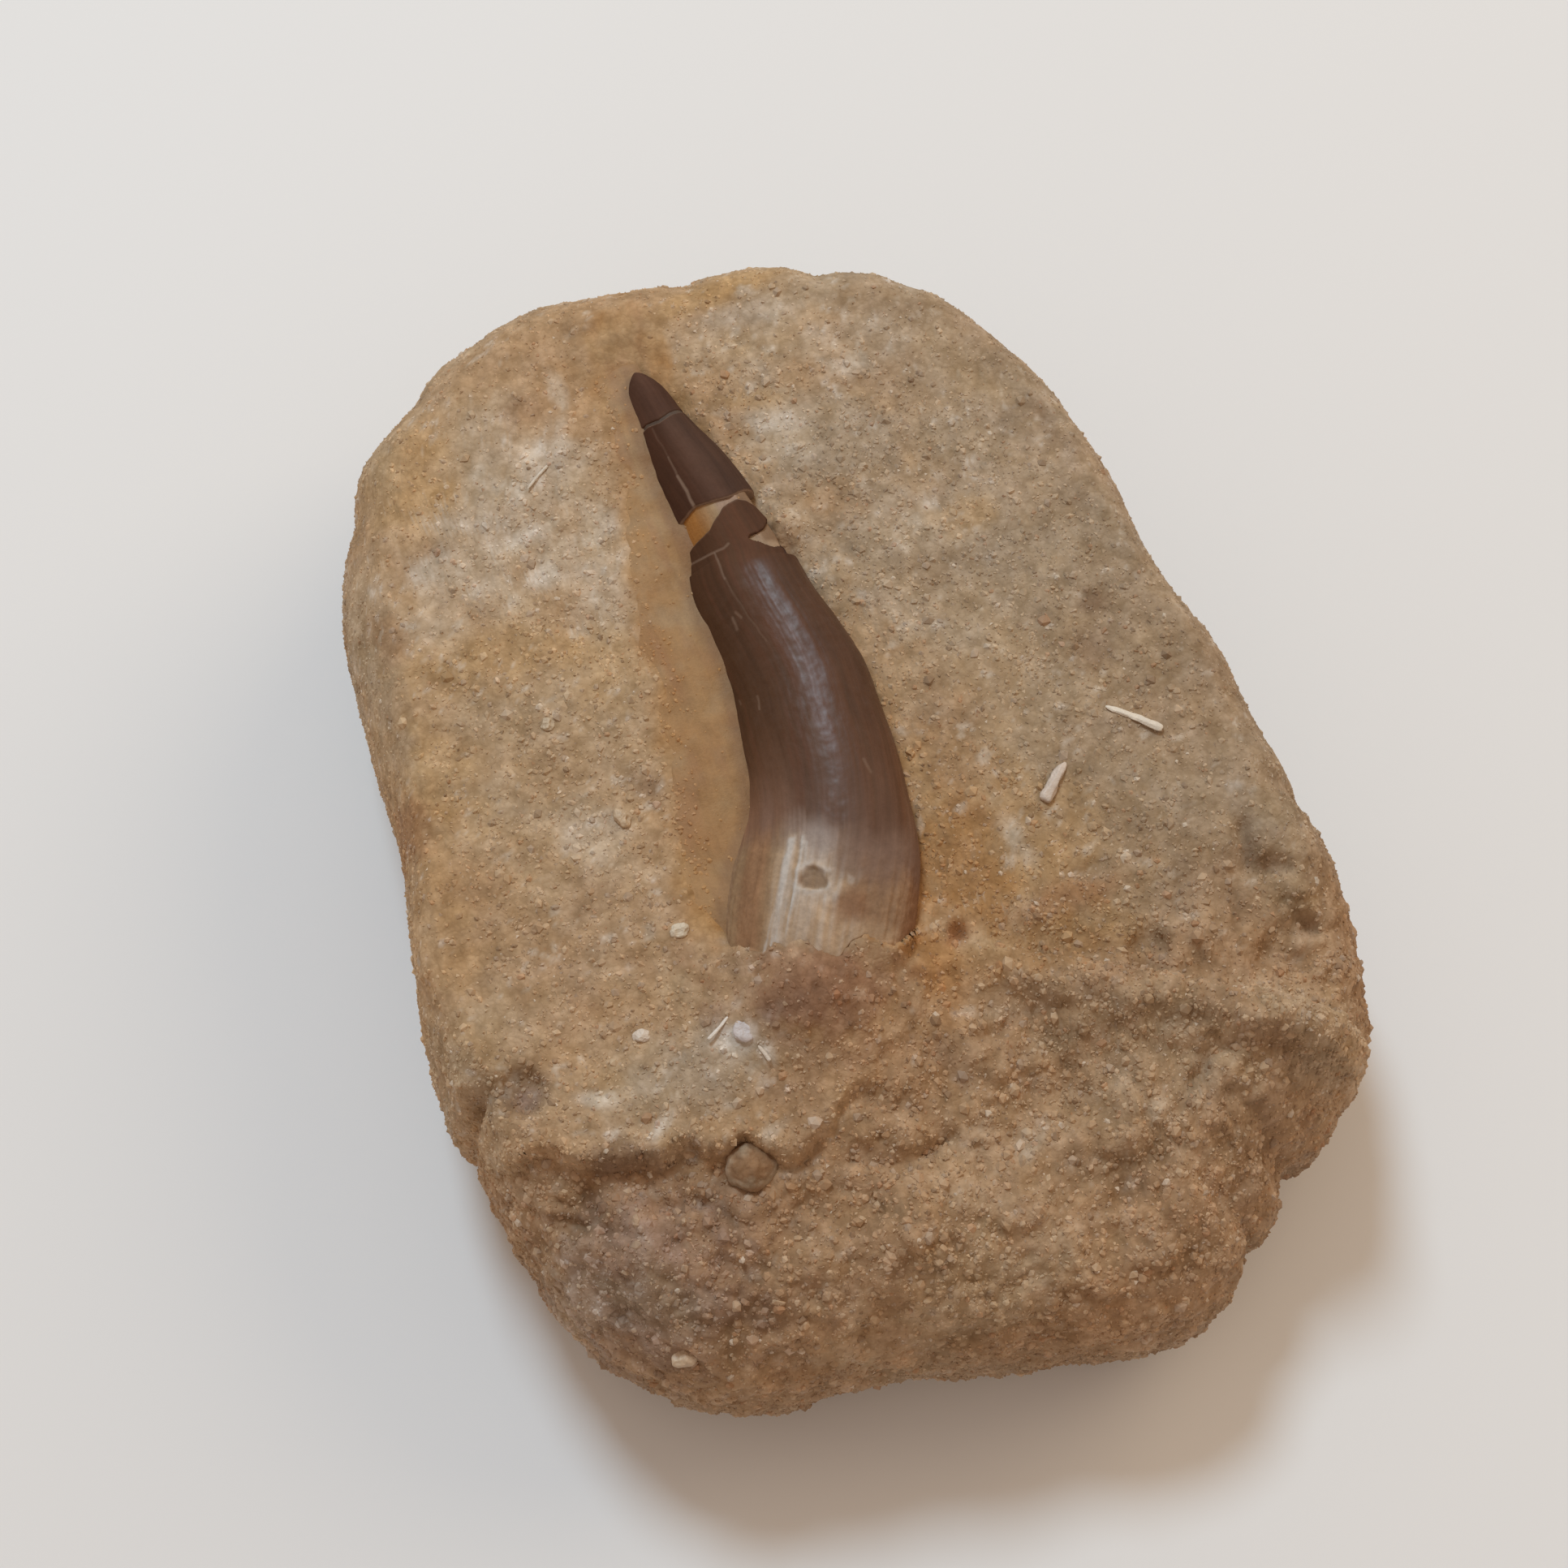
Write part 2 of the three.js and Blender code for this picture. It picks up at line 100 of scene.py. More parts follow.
# Tooth, from the tip to the root: x and y of the axis, half width, height of the crest. Then the height of
# the axis, and how far the hidden side reaches below it.
TOOTH = [
    (-2.75, 34.05, 0.2, 24.4), (-2.7, 33.5, 0.75, 24.9), (-2.6, 32.5, 1.3, 25.3), (-2.45, 31.2, 1.65, 25.5),
    (-2.3, 29.65, 1.88, 25.7), (-2, 27.5, 2.32, 26), (-1.6, 25.25, 2.78, 26.3), (-1.2, 23, 3.05, 26.6),
    (-0.9, 21, 3.2, 26.7), (-0.65, 19, 3.4, 26.8), (-0.55, 16.9, 3.9, 26.9), (-0.75, 15.3, 4.1, 27.3),
    (-0.5, 12.2, 4.2, 27.6), (-0.15, 9.1, 4.6, 27.9), (0.05, 5.85, 5.05, 28.2), (-0.3, 2.65, 5.3, 28.5),
    (-0.6, -0.4, 5.5, 28.8), (-1.25, -3.5, 5.8, 29), (-2.3, -6.4, 6.5, 29.1), (-3.75, -9.1, 6.85, 29),
    (-5.0, -11.3, 6.75, 28.6), (-5.7, -12.5, 6.5, 28.2), (-7.1, -15, 5.8, 27.2),
]
AXIS_HEIGHT = 23.2
TOOTH_DEPTH = 4
LEAN_SHARE, LEAN_LIMIT = 0.3, 1.35  # the crest lies this share of the half width to the right, at most so far
GIRTH = 1.12  # length of the skin's arc, in half widths times its angle

# Edges of the three pieces: (degrees round the tooth from its left side, over the crest; y on the axis).
TIP_BREAK = [(0, 29.6), (20, 29.55), (54, 29.4), (72, 29.2), (85, 29.02), (110, 29.12), (135, 29.2),
             (180, 29.3), (360, 29.6)]
UPPER_BREAK = [(0, 21.35), (17, 21.45), (44, 21.5), (64, 21.6), (90, 21.1), (110, 20.8), (150, 20.95),
               (180, 21), (360, 21.35)]
CROWN_BREAK = [(0, 18.9), (16, 19.2), (35, 19.3), (55, 19.3), (68, 19.45), (80, 19.85), (97, 20.35),
               (119, 20.4), (131, 20.1), (139, 19.6), (144, 18.7), (148, 16.3), (165, 15.8), (180, 15.4),
               (360, 18.9)]
ROOT_BREAK = [(0, -13.4), (25, -13.5), (46, -13.8), (60, -14.05), (67, -13.5), (76, -13.55), (88, -13.2),
              (97, -13.85), (107, -14.1), (111, -13.9), (116, -12.8), (124, -12.1), (129, -12.15), (134, -12.4),
              (150, -12.25), (165, -11.6), (180, -10.9), (360, -13.4)]
ROOT_RAGGED = 0.3  # how far the root's broken end strays from its line

# Putty: its left edge, and the line under the tooth that it runs in to.
PUTTY_LEFT = [
    (-4.2, 39.8), (-5.2, 38), (-5.9, 34.5), (-5.9, 30), (-6.6, 25.5), (-8, 21.5), (-9.3, 15.3), (-10.2, 8.8),
    (-11, 2.7), (-12.4, -3), (-13.2, -7), (-12.8, -9.8),
]
PUTTY_RIGHT = [
    (-1.9, 39.6), (-1, 38), (-1, 34.5), (-1.2, 30), (-0.8, 25.5), (0.2, 21.5), (0.4, 15.3), (0.3, 8.8),
    (-0.3, 2.7), (-1.4, -3), (-3.6, -8), (-7.6, -10.6),
]
PUTTY_PROUD = 0.22  # how far it stands above the rock

BROWNING = (0.87, 1, 1.22)  # powers of a level for red, green and blue: darker places are browner

# Camera: where it looks, how far it stands off, its turn and height in degrees, its lens.
TARGET = (-2.8, 1.0, 20)
DISTANCE = 221
CAMERA_TURN = -20
CAMERA_HEIGHT = 70
LENS = 70


# ---------- colours ----------

def linear(code):
    """Linear red, green and blue of a colour written as six hexadecimal digits."""
    parts = np.array([int(code[i:i + 2], 16) / 255 for i in (0, 2, 4)])
    return np.where(parts <= 0.04045, parts / 12.92, ((parts + 0.055) / 1.055) ** 2.4)


STONE = {
    "tan": linear("ba9671"),
    "buff": linear("bea484"),
    "pale": linear("ccb79e"),
    "chalk": linear("ddd0c0"),
    "ochre": linear("c29a66"),
    "amber": linear("b07b43"),
    "rust": linear("9c6339"),
    "brown": linear("ab8563"),
    "umber": linear("745440"),
    "grey": linear("aa967f"),
    "plum": linear("a28a7e"),
    "clay": linear("91674e"),
}
ENAMEL = {
    "dark": linear("4e321f"),
    "red": linear("563222"),
    "brown": linear("5d402d"),
    "smoke": linear("6a5448"),
    "tip": linear("54382a"),
    "upper": linear("482c1e"),
}
ROOT = {
    "orange": linear("917557"),
    "red": linear("90684a"),
    "tan": linear("aa8f73"),
    "white": linear("beb6ae"),
    "taupe": linear("907258"),
    "shade": linear("835f45"),
    "pit": linear("866c53"),
    # purplish-grey painted sheen where the root's crest catches the light
    "violet_sheen": linear("7c665d"),
}
PUTTY = {
    "ochre": linear("a47f55"),
    "honey": linear("9c744a"),
    "beige": linear("a78c6b"),
    "orange": linear("9c6830"),
    "glue": linear("56463a"),
    "rose": linear("a38673"),
    "sand": linear("9d8268"),
}
CRACK = linear("876e5c")


# ---------- curves and blends ----------

def smooth(t):
    """0 below 0, 1 above 1, eased between."""
    t = np.clip(t, 0, 1)
    return t * t * (3 - 2 * t)


def mix(a, b, t):
    """a where t is 0, b where t is 1: numbers, or colours, one for all places or one for each."""
    t = np.asarray(t)
    if np.shape(b)[-1:] == (3,):
        t = t[..., None]
    return a * (1 - t) + b * t


def cubic(p0, p1, p2, p3, t):
    """Catmull-Rom value between p1 and p2."""
    return 0.5 * (
        2 * p1 + (p2 - p0) * t + (2 * p0 - 5 * p1 + 4 * p2 - p3) * t ** 2 + (3 * p1 - p0 - 3 * p2 + p3) * t ** 3
    )


def around(values, angle):
    """Value of a closed list of equally spaced numbers at an angle in radians, on a smooth curve."""
    values = np.asarray(values, float)
    place = (angle / (2 * np.pi) * len(values)) % len(values)
    i = np.floor(place).astype(int)
    return cubic(*(values[(i + k) % len(values)] for k in (-1, 0, 1, 2)), place - i)


def resample(rows, count):
    """Rows of numbers, resampled to count rows along a smooth curve through them."""
    rows = np.asarray(rows, float)
    last = len(rows) - 1
    place = np.linspace(0, last, count)
    i = np.minimum(place.astype(int), last - 1)
    return cubic(*(rows[np.clip(i + k, 0, last)] for k in (-1, 0, 1, 2)), (place - i)[:, None])


def along(line, x):
    """Height at x of an open line of (x, height) points, eased between them."""
    xs, ys = np.asarray(line, float).T
    i = np.clip(np.searchsorted(xs, x) - 1, 0, len(xs) - 2)
    return ys[i] + (ys[i + 1] - ys[i]) * smooth((x - xs[i]) / (xs[i + 1] - xs[i]))


def level_plane(x, y):
    """Points at height 0."""
    return np.column_stack([x, y, np.zeros_like(x)])


def line_distance(x, y, line):
    """Distance in plan from points to an open line."""
    line = np.asarray(line, float)
    best = np.full(np.shape(x), np.inf)
    for (x0, y0), (x1, y1) in zip(line[:-1], line[1:]):
        length2 = (x1 - x0) ** 2 + (y1 - y0) ** 2
        t = np.clip(((x - x0) * (x1 - x0) + (y - y0) * (y1 - y0)) / length2, 0, 1)
        best = np.minimum(best, np.hypot(x - x0 - t * (x1 - x0), y - y0 - t * (y1 - y0)))
    return best


# ---------- noise ----------

LATTICE = 64
_draw = np.random.default_rng(11)
SLOPES = _draw.normal(size=(LATTICE, LATTICE, LATTICE, 3))
SLOPES /= np.linalg.norm(SLOPES, axis=-1, keepdims=True)
JITTER = _draw.random((LATTICE, LATTICE, LATTICE, 3))
SKEW = np.array([[0.8, 0.36, -0.48], [-0.6, 0.48, -0.64], [0, 0.8, 0.6]])  # turns the lattice off the axes


def noise(points, size, seed=0):
    """Smooth random value from about -1 to 1 that changes over size millimetres (gradient noise)."""
    place = points @ SKEW / size + seed * 7.31
    cell = np.floor(place).astype(int)
    part = place - cell
    fade = part ** 3 * (part * (part * 6 - 15) + 10)
    total = np.zeros(len(points))
    for corner in itertools.product((0, 1), repeat=3):
        corner = np.array(corner)
        index = (cell + corner) % LATTICE
        weight = np.where(corner, fade, 1 - fade).prod(axis=1)
        total += weight * (SLOPES[index[:, 0], index[:, 1], index[:, 2]] * (part - corner)).sum(axis=1)
    return total * 1.7


def fractal(points, size, octaves=3, seed=0):
    """Sum of noises, each half as large and half as strong as the one before."""
    return sum(noise(points, size / 2 ** k, seed + 3 * k) / 2 ** k for k in range(octaves)) / 1.4


def crags(points, size, octaves=3, seed=0):
    """Like fractal, with sharp ridges: each noise is folded at zero. About -1 to 1."""
    return sum(
        (1 - 2.6 * np.abs(noise(points, size / 2 ** k, seed + 3 * k))) / 2 ** k for k in range(octaves)
    ) / 1.5


def cells(points, size, seed=0):
    """Distance to the nearest of scattered centres about size millimetres apart, in parts of size, and a
    random number from 0 to 1 that belongs to that centre."""
    place = points @ SKEW / size + seed * 5.17
    cell = np.floor(place).astype(int)
    best = np.full(len(points), 9.0)
    number = np.zeros(len(points))
    for step in itertools.product((-1, 0, 1), repeat=3):
        index = (cell + np.array(step)) % LATTICE
        centre = JITTER[index[:, 0], index[:, 1], index[:, 2]]
        distance = np.linalg.norm(cell + np.array(step) + centre - place, axis=1)
        closer = distance < best
        best = np.where(closer, distance, best)
        number = np.where(closer, (centre.sum(axis=1) * 7.7) % 1, number)
    return best, number


# ---------- meshes ----------

def normals_of(points, faces):
    """Unit normal at each point, from the four-sided faces round it; none at a pole."""
    quads = faces[0]
    corners = points[quads]
    across = np.cross(corners[:, 2] - corners[:, 0], corners[:, 3] - corners[:, 1])
    total = np.column_stack([
        sum(np.bincount(quads[:, k], part, len(points)) for k in range(4)) for part in across.T
    ])
    return total / np.maximum(np.linalg.norm(total, axis=1, keepdims=True), 1e-12)


def make_piece(name, points, faces, material, slot, replaces=(), shaded=True, **attributes):
    """Makes a mesh object of points in millimetres and groups of faces. Each attribute has a value, a
    colour or a vector for every point."""
    mesh = bpy.data.meshes.new(name)
    corners = np.concatenate([group.ravel() for group in faces])
    sizes = np.concatenate([np.full(len(group), group.shape[1]) for group in faces])
    mesh.vertices.add(len(points))
    mesh.vertices.foreach_set("co", (points * MM).ravel())
    mesh.loops.add(len(corners))
    mesh.loops.foreach_set("vertex_index", corners.astype(np.int32))
    mesh.polygons.add(len(sizes))
    mesh.polygons.foreach_set("loop_start", (np.cumsum(sizes) - sizes).astype(np.int32))
    mesh.polygons.foreach_set("use_smooth", np.full(len(sizes), shaded))
    mesh.update(calc_edges=True)
    for key, values in attributes.items():
        values = np.asarray(values, np.float32)
        if values.ndim == 1:
            mesh.attributes.new(key, "FLOAT", "POINT").data.foreach_set("value", values)
        elif key == "tone":
            values = np.column_stack([values, np.ones(len(values), np.float32)])
            mesh.attributes.new(key, "FLOAT_COLOR", "POINT").data.foreach_set("color", values.ravel())
        else:
            mesh.attributes.new(key, "FLOAT_VECTOR", "POINT").data.foreach_set("vector", values.ravel())
    mesh.materials.append(material)
    piece = bpy.data.objects.new(name, mesh)
    bpy.context.scene.collection.objects.link(piece)
    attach(piece, "root")
    if replaces:
        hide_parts(*replaces)
    return piece


def skin(rings):
    """Points and faces of a closed skin over rings of points, (ring, place, xyz), with a point to close each
    end. Rings run so that the skin faces outwards when they follow one another along their right-hand axis."""
    count, size = rings.shape[:2]
    points = np.concatenate([rings[:1].mean(axis=1), rings.reshape(-1, 3), rings[-1:].mean(axis=1)])
    place = 1 + np.arange(count * size).reshape(count, size)
    after = np.roll(place, -1, axis=1)
    quads = np.stack([place[:-1], place[1:], after[1:], after[:-1]], axis=-1).reshape(-1, 4)
    start = np.stack([np.zeros(size, int), place[0], after[0]], axis=-1)
    end = np.stack([np.full(size, len(points) - 1), after[-1], place[-1]], axis=-1)
    return points, [quads, np.concatenate([start, end])]


def joined(parts):
    """Several (points, faces) as one."""
    points = np.concatenate([p for p, _ in parts])
    starts = np.cumsum([0] + [len(p) for p, _ in parts[:-1]])
    groups = {}
    for start, (_, faces) in zip(starts, parts):
        for group in faces:
            groups.setdefault(group.shape[1], []).append(group + start)
    return points, [np.concatenate(groups[size]) for size in sorted(groups, reverse=True)]


# ---------- shader graphs ----------

def math_operator(operation):
    """An operator on sockets that adds a Math node, and its reflected form."""
    def forward(self, other):
        return self.graph.node("ShaderNodeMath", {"operation": operation}, [self, other])

    def reflected(self, other):
        return self.graph.node("ShaderNodeMath", {"operation": operation}, [other, self])

    return forward, reflected


class Value:
    """A socket of a shader graph. Arithmetic on it adds Math nodes."""

    __add__, __radd__ = math_operator("ADD")
    __sub__, __rsub__ = math_operator("SUBTRACT")
    __mul__, __rmul__ = math_operator("MULTIPLY")
    __pow__, __rpow__ = math_operator("POWER")

    def __init__(self, graph, socket):
        self.graph = graph
        self.socket = socket

    def ramp(self, low, high):
        """0 at low and 1 at high, eased between."""
        inputs = {"Value": self, "From Min": low, "From Max": high}
        return self.graph.node("ShaderNodeMapRange", {"interpolation_type": "SMOOTHSTEP"}, inputs)


class Graph:
    """The node tree of one material, with its Principled shader."""

    def __init__(self, name, **constants):
        self.material = bpy.data.materials.new(name)
        self.material.use_nodes = True
        self.tree = self.material.node_tree
        self.shader = self.tree.nodes["Principled BSDF"]
        for socket, value in constants.items():
            self.shader.inputs[socket.replace("_", " ")].default_value = value

    def node(self, kind, settings=None, inputs=(), output=0):
        """Adds a node: its settings first, then the values or links of its sockets."""
        made = self.tree.nodes.new(kind)
        for key, value in (settings or {}).items():
            setattr(made, key, value)
        pairs = inputs.items() if isinstance(inputs, dict) else enumerate(inputs)
        for key, value in pairs:
            if isinstance(value, Value):
                self.tree.links.new(value.socket, made.inputs[key])
            else:
                made.inputs[key].default_value = value
        return Value(self, made.outputs[output])

    def feed(self, socket, value):
        self.tree.links.new(value.socket, self.shader.inputs[socket])

    def millimetres(self, stretch=(1, 1, 1)):
        """Object coordinates in millimetres, stretched."""
        place = self.node("ShaderNodeTexCoord", output="Object")
        scale = tuple(s / MM for s in stretch)
        return self.node("ShaderNodeVectorMath", {"operation": "MULTIPLY"}, [place, scale])

    def attribute(self, name, output="Fac"):
        return self.node("ShaderNodeAttribute", {"attribute_name": name}, output=output)

    def noise(self, place, size, detail=2, roughness=0.5):
        inputs = {"Vector": place, "Scale": 1 / size, "Detail": detail, "Roughness": roughness}
        return self.node("ShaderNodeTexNoise", {}, inputs, "Fac")

    def tint(self, color, factor):
        """A colour, made lighter or darker by a number."""
        return self.node("ShaderNodeVectorMath", {"operation": "SCALE"}, {0: color, "Scale": factor})

    def earthy_tint(self, color, level):
        """A colour, made paler or darker by a number, and browner where it is darker."""
        red, green, blue = (level ** power for power in BROWNING)
        levels = self.node("ShaderNodeCombineXYZ", {}, [red, green, blue])
        return self.node("ShaderNodeVectorMath", {"operation": "MULTIPLY"}, [color, levels])

    def bump(self, height, depth, strength=1.0):
        """A bump of that height, 0 to 1, and depth in millimetres."""
        inputs = {"Strength": strength, "Distance": depth * MM, "Height": height}
        return self.node("ShaderNodeBump", {}, inputs)


def rock_material():
    """Sandstone: the tone of each place, broken up into sand grains of a third of a millimetre, with painted
    shade in the gaps between the grains.
    """
    graph = Graph("sandy_phosphate_rock", Roughness=0.92, Specular_IOR_Level=0.25)
    place = graph.millimetres()
    waver = graph.node("ShaderNodeTexNoise", {}, {"Vector": place, "Scale": 1.4, "Detail": 2}, "Color")
    shift = graph.node("ShaderNodeVectorMath", {"operation": "MULTIPLY_ADD"}, [waver, (0.7, 0.7, 0.7), place])
    grain = graph.node("ShaderNodeTexVoronoi", {}, {"Vector": shift, "Scale": 2.3, "Randomness": 1}, "Distance")
    shade = graph.node("ShaderNodeTexVoronoi", {}, {"Vector": shift, "Scale": 2.3, "Randomness": 1}, "Color")
    light = graph.node("ShaderNodeSeparateColor", {}, [shade], "Red")
    fine = graph.noise(place, 0.16, 3, 0.6)
    soft = graph.noise(place, 0.9, 2, 0.5)
    level = 0.82 + light * 0.12 + (soft - 0.5) * 0.62 + (fine - 0.5) * 0.14
    # painted shade between the sand grains: each grain darkens by up to 0.12 towards its edge
    level = level * (1.03 - grain.ramp(0.35, 0.75) * 0.12)
    graph.feed("Base Color", graph.earthy_tint(graph.attribute("tone", "Color"), level))
    height = (1 - grain.ramp(0.1, 0.8)) * 0.6 + fine * 0.4
    graph.feed("Normal", graph.bump(height, 0.055))
    return graph.material


def grain_material(name, roughness, level):
    """A grain: its own tone with a faint cloudiness."""
    graph = Graph(name, Roughness=roughness, Specular_IOR_Level=level)
    cloud = graph.noise(graph.millimetres(), 0.3, 2)
    graph.feed("Base Color", graph.tint(graph.attribute("tone", "Color"), 0.8 + cloud * 0.4))
    return graph.material


def tooth_material():
    """Enamel and root: the tone and gloss of each place, with a fine lengthwise grain."""
    graph = Graph("fossil_tooth", Coat_Roughness=0.33, Specular_IOR_Level=0.2)
    way = graph.attribute("lengthwise", "Vector")
    stretched = graph.node("ShaderNodeVectorMath", {"operation": "MULTIPLY"}, [way, (1, 0.09, 1)])
    streak = graph.noise(stretched, 0.2, 3, 0.6)
    speck = graph.noise(graph.millimetres(), 0.32, 3, 0.65)
    root = graph.attribute("root")
    level = 1 + (streak - 0.5) * (0.26 - root * 0.14) + (speck - 0.5) * (0.2 + root * 0.35)
    graph.feed("Base Color", graph.tint(graph.attribute("tone", "Color"), level))
    broken = graph.noise(graph.millimetres(), 0.8, 3, 0.6)
    matt = graph.attribute("matt")
    graph.feed("Roughness", 0.5 + matt * 0.3 + (broken - 0.5) * 0.2)
    graph.feed("Coat Weight", (1 - matt) * (0.19 + (broken - 0.5) * 0.85 + (streak - 0.5) * 0.1))
    graph.feed("Normal", graph.bump(streak * 0.25 + speck * 0.75, 0.036))
    return graph.material


def putty_material():
    """Tinted putty: smooth, with a few specks of sand and faint tool marks."""
    graph = Graph("tinted_putty", Roughness=0.72, Specular_IOR_Level=0.35)
    place = graph.millimetres()
    cloud = graph.noise(place, 2.2, 3)
    fine = graph.noise(place, 0.25, 3, 0.6)
    drag = graph.noise(graph.millimetres((1, 0.15, 1)), 0.45, 2)
    level = 0.5 + cloud * 0.46 + fine * 0.3 + drag * 0.24
    graph.feed("Base Color", graph.tint(graph.attribute("tone", "Color"), level))
    graph.feed("Normal", graph.bump(fine * 0.45 + drag * 0.55, 0.11))
    return graph.material


def bone_material():
    """Pale bone: cream, streaked along its length, a little glossy."""
    graph = Graph("pale_bone", Roughness=0.5)
    cloud = graph.noise(graph.millimetres(), 0.5, 3)
    pores = graph.noise(graph.millimetres(), 0.14, 2)
    level = 0.82 + cloud * 0.26 + pores * 0.1
    graph.feed("Base Color", graph.tint(graph.attribute("tone", "Color"), level))
    graph.feed("Normal", graph.bump(pores, 0.04))
    return graph.material


def floor_material():
    """A plain pale sheet."""
    color = (0.8, 0.79, 0.78, 1)
    return Graph("pale_table", Roughness=0.55, Specular_IOR_Level=0.2, Base_Color=color).material


# ---------- the tooth's form ----------

AXIS = resample(TOOTH, 600)
AXIS_LENGTH = np.concatenate([[0], np.cumsum(np.hypot(*np.diff(AXIS[:, :2], axis=0).T))])
HEADING = np.gradient(AXIS[:, :2], axis=0)
HEADING /= np.linalg.norm(HEADING, axis=1, keepdims=True)


def length_at(y):
    """Distance along the tooth's axis from the tip to where the axis passes y."""
    return np.interp(-np.asarray(y, float), -AXIS[:, 1], AXIS_LENGTH)


def half_width(length):
    """Half width of the tooth at a distance along its axis."""
    return np.interp(length, AXIS_LENGTH, AXIS[:, 2])


def lean(half):
    """How far to the right of the axis the crest lies, for a half width."""
    return np.minimum(LEAN_SHARE * half, LEAN_LIMIT)


def seen_angle(angle, half):
    """The angle at which a point of the upper half would lie if the section did not lean: 0 at its left side
    and pi at its right side, as seen from above."""
    level = np.clip(np.cos(angle) - lean(half) / half * np.sin(angle), -1, 1)
    return np.where(np.sin(angle) > 0, np.arccos(level), angle)


def section_rise(side, half):
    """Height of a section above its axis, from 0 to 1, at a distance to the right of the axis."""
    slant = np.arctan2(lean(half), half)
    turned = np.arccos(np.clip(-side / np.hypot(half, lean(half)), -1, 1)) - slant
    return np.sin(np.clip(turned, 0, np.pi))


def tooth_point(length, angle, inset=0.0):
    """Point of the tooth's skin. Each section, square to the axis, is half an ellipse above the axis, leaning
    to the right, and a flatter one below it; inset draws it in towards the axis."""
    x, y, half, crest = (np.interp(length, AXIS_LENGTH, AXIS[:, k]) for k in range(4))
    dx, dy = (np.interp(length, AXIS_LENGTH, HEADING[:, k]) for k in range(2))
    side = np.maximum(half - inset, 0.05) * np.cos(angle) - lean(half) * np.maximum(np.sin(angle), 0)
    above = np.maximum(crest - AXIS_HEIGHT - inset, 0.05)
    below = np.maximum(np.minimum(TOOTH_DEPTH, half) - inset, 0.05)
    rise = np.sin(angle) * np.where(np.sin(angle) > 0, above, below)
    return np.stack([x + dy * side, y - dx * side, AXIS_HEIGHT + rise], axis=-1)


def on_tooth(x, y):
    """For places in plan: length along the axis, sideways distance (negative on the left) and half width."""
    step = AXIS[::4]
    length = np.empty(len(x))
    side = np.empty(len(x))
    half = np.empty(len(x))
    for part in np.array_split(np.arange(len(x)), max(1, len(x) // 20000)):
        gap_x = x[part, None] - step[None, :, 0]
        gap_y = y[part, None] - step[None, :, 1]
        nearest = (gap_x ** 2 + gap_y ** 2).argmin(axis=1)
        dx, dy = HEADING[::4][nearest].T
        rows = np.arange(len(part))
        along_gap = gap_x[rows, nearest] * dx + gap_y[rows, nearest] * dy
        side[part] = -(gap_x[rows, nearest] * dy - gap_y[rows, nearest] * dx)
        length[part] = AXIS_LENGTH[::4][nearest] + along_gap
        half[part] = step[nearest, 2]
    return length, side, half


ROOT_END = length_at(-12.3)


# ---------- the rock's form ----------

def lumps(x, y):
    """Gentle unevenness of the face, about half a millimetre either way: products of sine waves."""
    broad = 0.5 * np.sin(0.23 * x + 0.11 * y + 0.6) * np.cos(0.19 * y - 0.07 * x)
    return broad + 0.35 * np.sin(0.41 * x - 0.33 * y + 2.1) * np.sin(0.29 * x + 0.37 * y)


def beyond_ledge(x, y):
    """How far a place lies below the ledge, 0 on the prepared face; the ledge wavers by a millimetre."""
    flat = level_plane(x, y)
    waver = 1.1 * fractal(flat, 5, 3, seed=21) + 0.35 * fractal(flat, 1.3, 2, seed=22)
    return np.maximum(along(LEDGE, x) - y + waver, 0)


def broken_share(x, y):
    """0 on the prepared face and 1 on the broken third: a quick change on the left, a slow one on the right."""
    return smooth(beyond_ledge(x, y) / (2 + 5 * smooth((x + 6) / 8)))


def humps(x, y, rows):
    """Sum of rounded humps, given as x, y, height and radius."""
    return sum(
        height * np.exp(-((x - cx) ** 2 + (y - cy) ** 2) / radius ** 2) for cx, cy, height, radius in rows
    )


def sunk(x, y):
    """Depth of the flat-floored hollows and of the grooves."""
    hollows = sum(
        depth * (1 - smooth((np.hypot(x - cx, y - cy) / radius - 0.7) / 0.5))
        for cx, cy, depth, radius in HOLLOWS
    )
    return hollows + sum(
        depth * np.exp(-(line_distance(x, y, line) / width) ** 2) for line, depth, width in GROOVES
    )


def face_height(x, y):
    """Height of the face before its edge is rounded: level, uneven, with the ledge, the rises and the pits."""
    beyond = beyond_ledge(x, y)
    right, left = LEDGE_DROP
    drop = right + (left - right) * smooth((-4 - x) / 8)
    uneven = lumps(x, y) * (0.6 + 1.2 * smooth(beyond / 6))
    return (FACE_HEIGHT + uneven + humps(x, y, RISES) - humps(x, y, PITS) - sunk(x, y)
            - drop * smooth(beyond / (0.8 + 3 * smooth((x - 2) / 8))) - BREAK_SLOPE * beyond)


def ragged_edge(edge, angle, amount, seed):
    """Length along the axis of a broken edge at each angle as seen from above, made a little ragged."""
    degrees, ys = np.asarray(edge, float).T
    circle = 5 * level_plane(np.cos(angle), np.sin(angle))
    return np.interp(np.degrees(angle), degrees, length_at(ys)) + amount * fractal(circle, 1.1, 3, seed=seed)


def past_root(length, degrees):
    """Distance beyond the root's broken end, for a place on the tooth or straight on from it."""
    return length - ragged_edge(ROOT_BREAK, np.radians(degrees), ROOT_RAGGED, 74)


def past_root_beside(length, side, half):
    """The same, for a place given by how far it lies to the right of the axis."""
    return past_root(length, np.degrees(np.arccos(np.clip(-side / half, -1, 1))))


def mound(x, y):
    """1 on the reddish mound below the root, fading to 0 around it."""
    return np.exp(-((x + 7) ** 2 / 45 + (y + 16.5) ** 2 / 18))


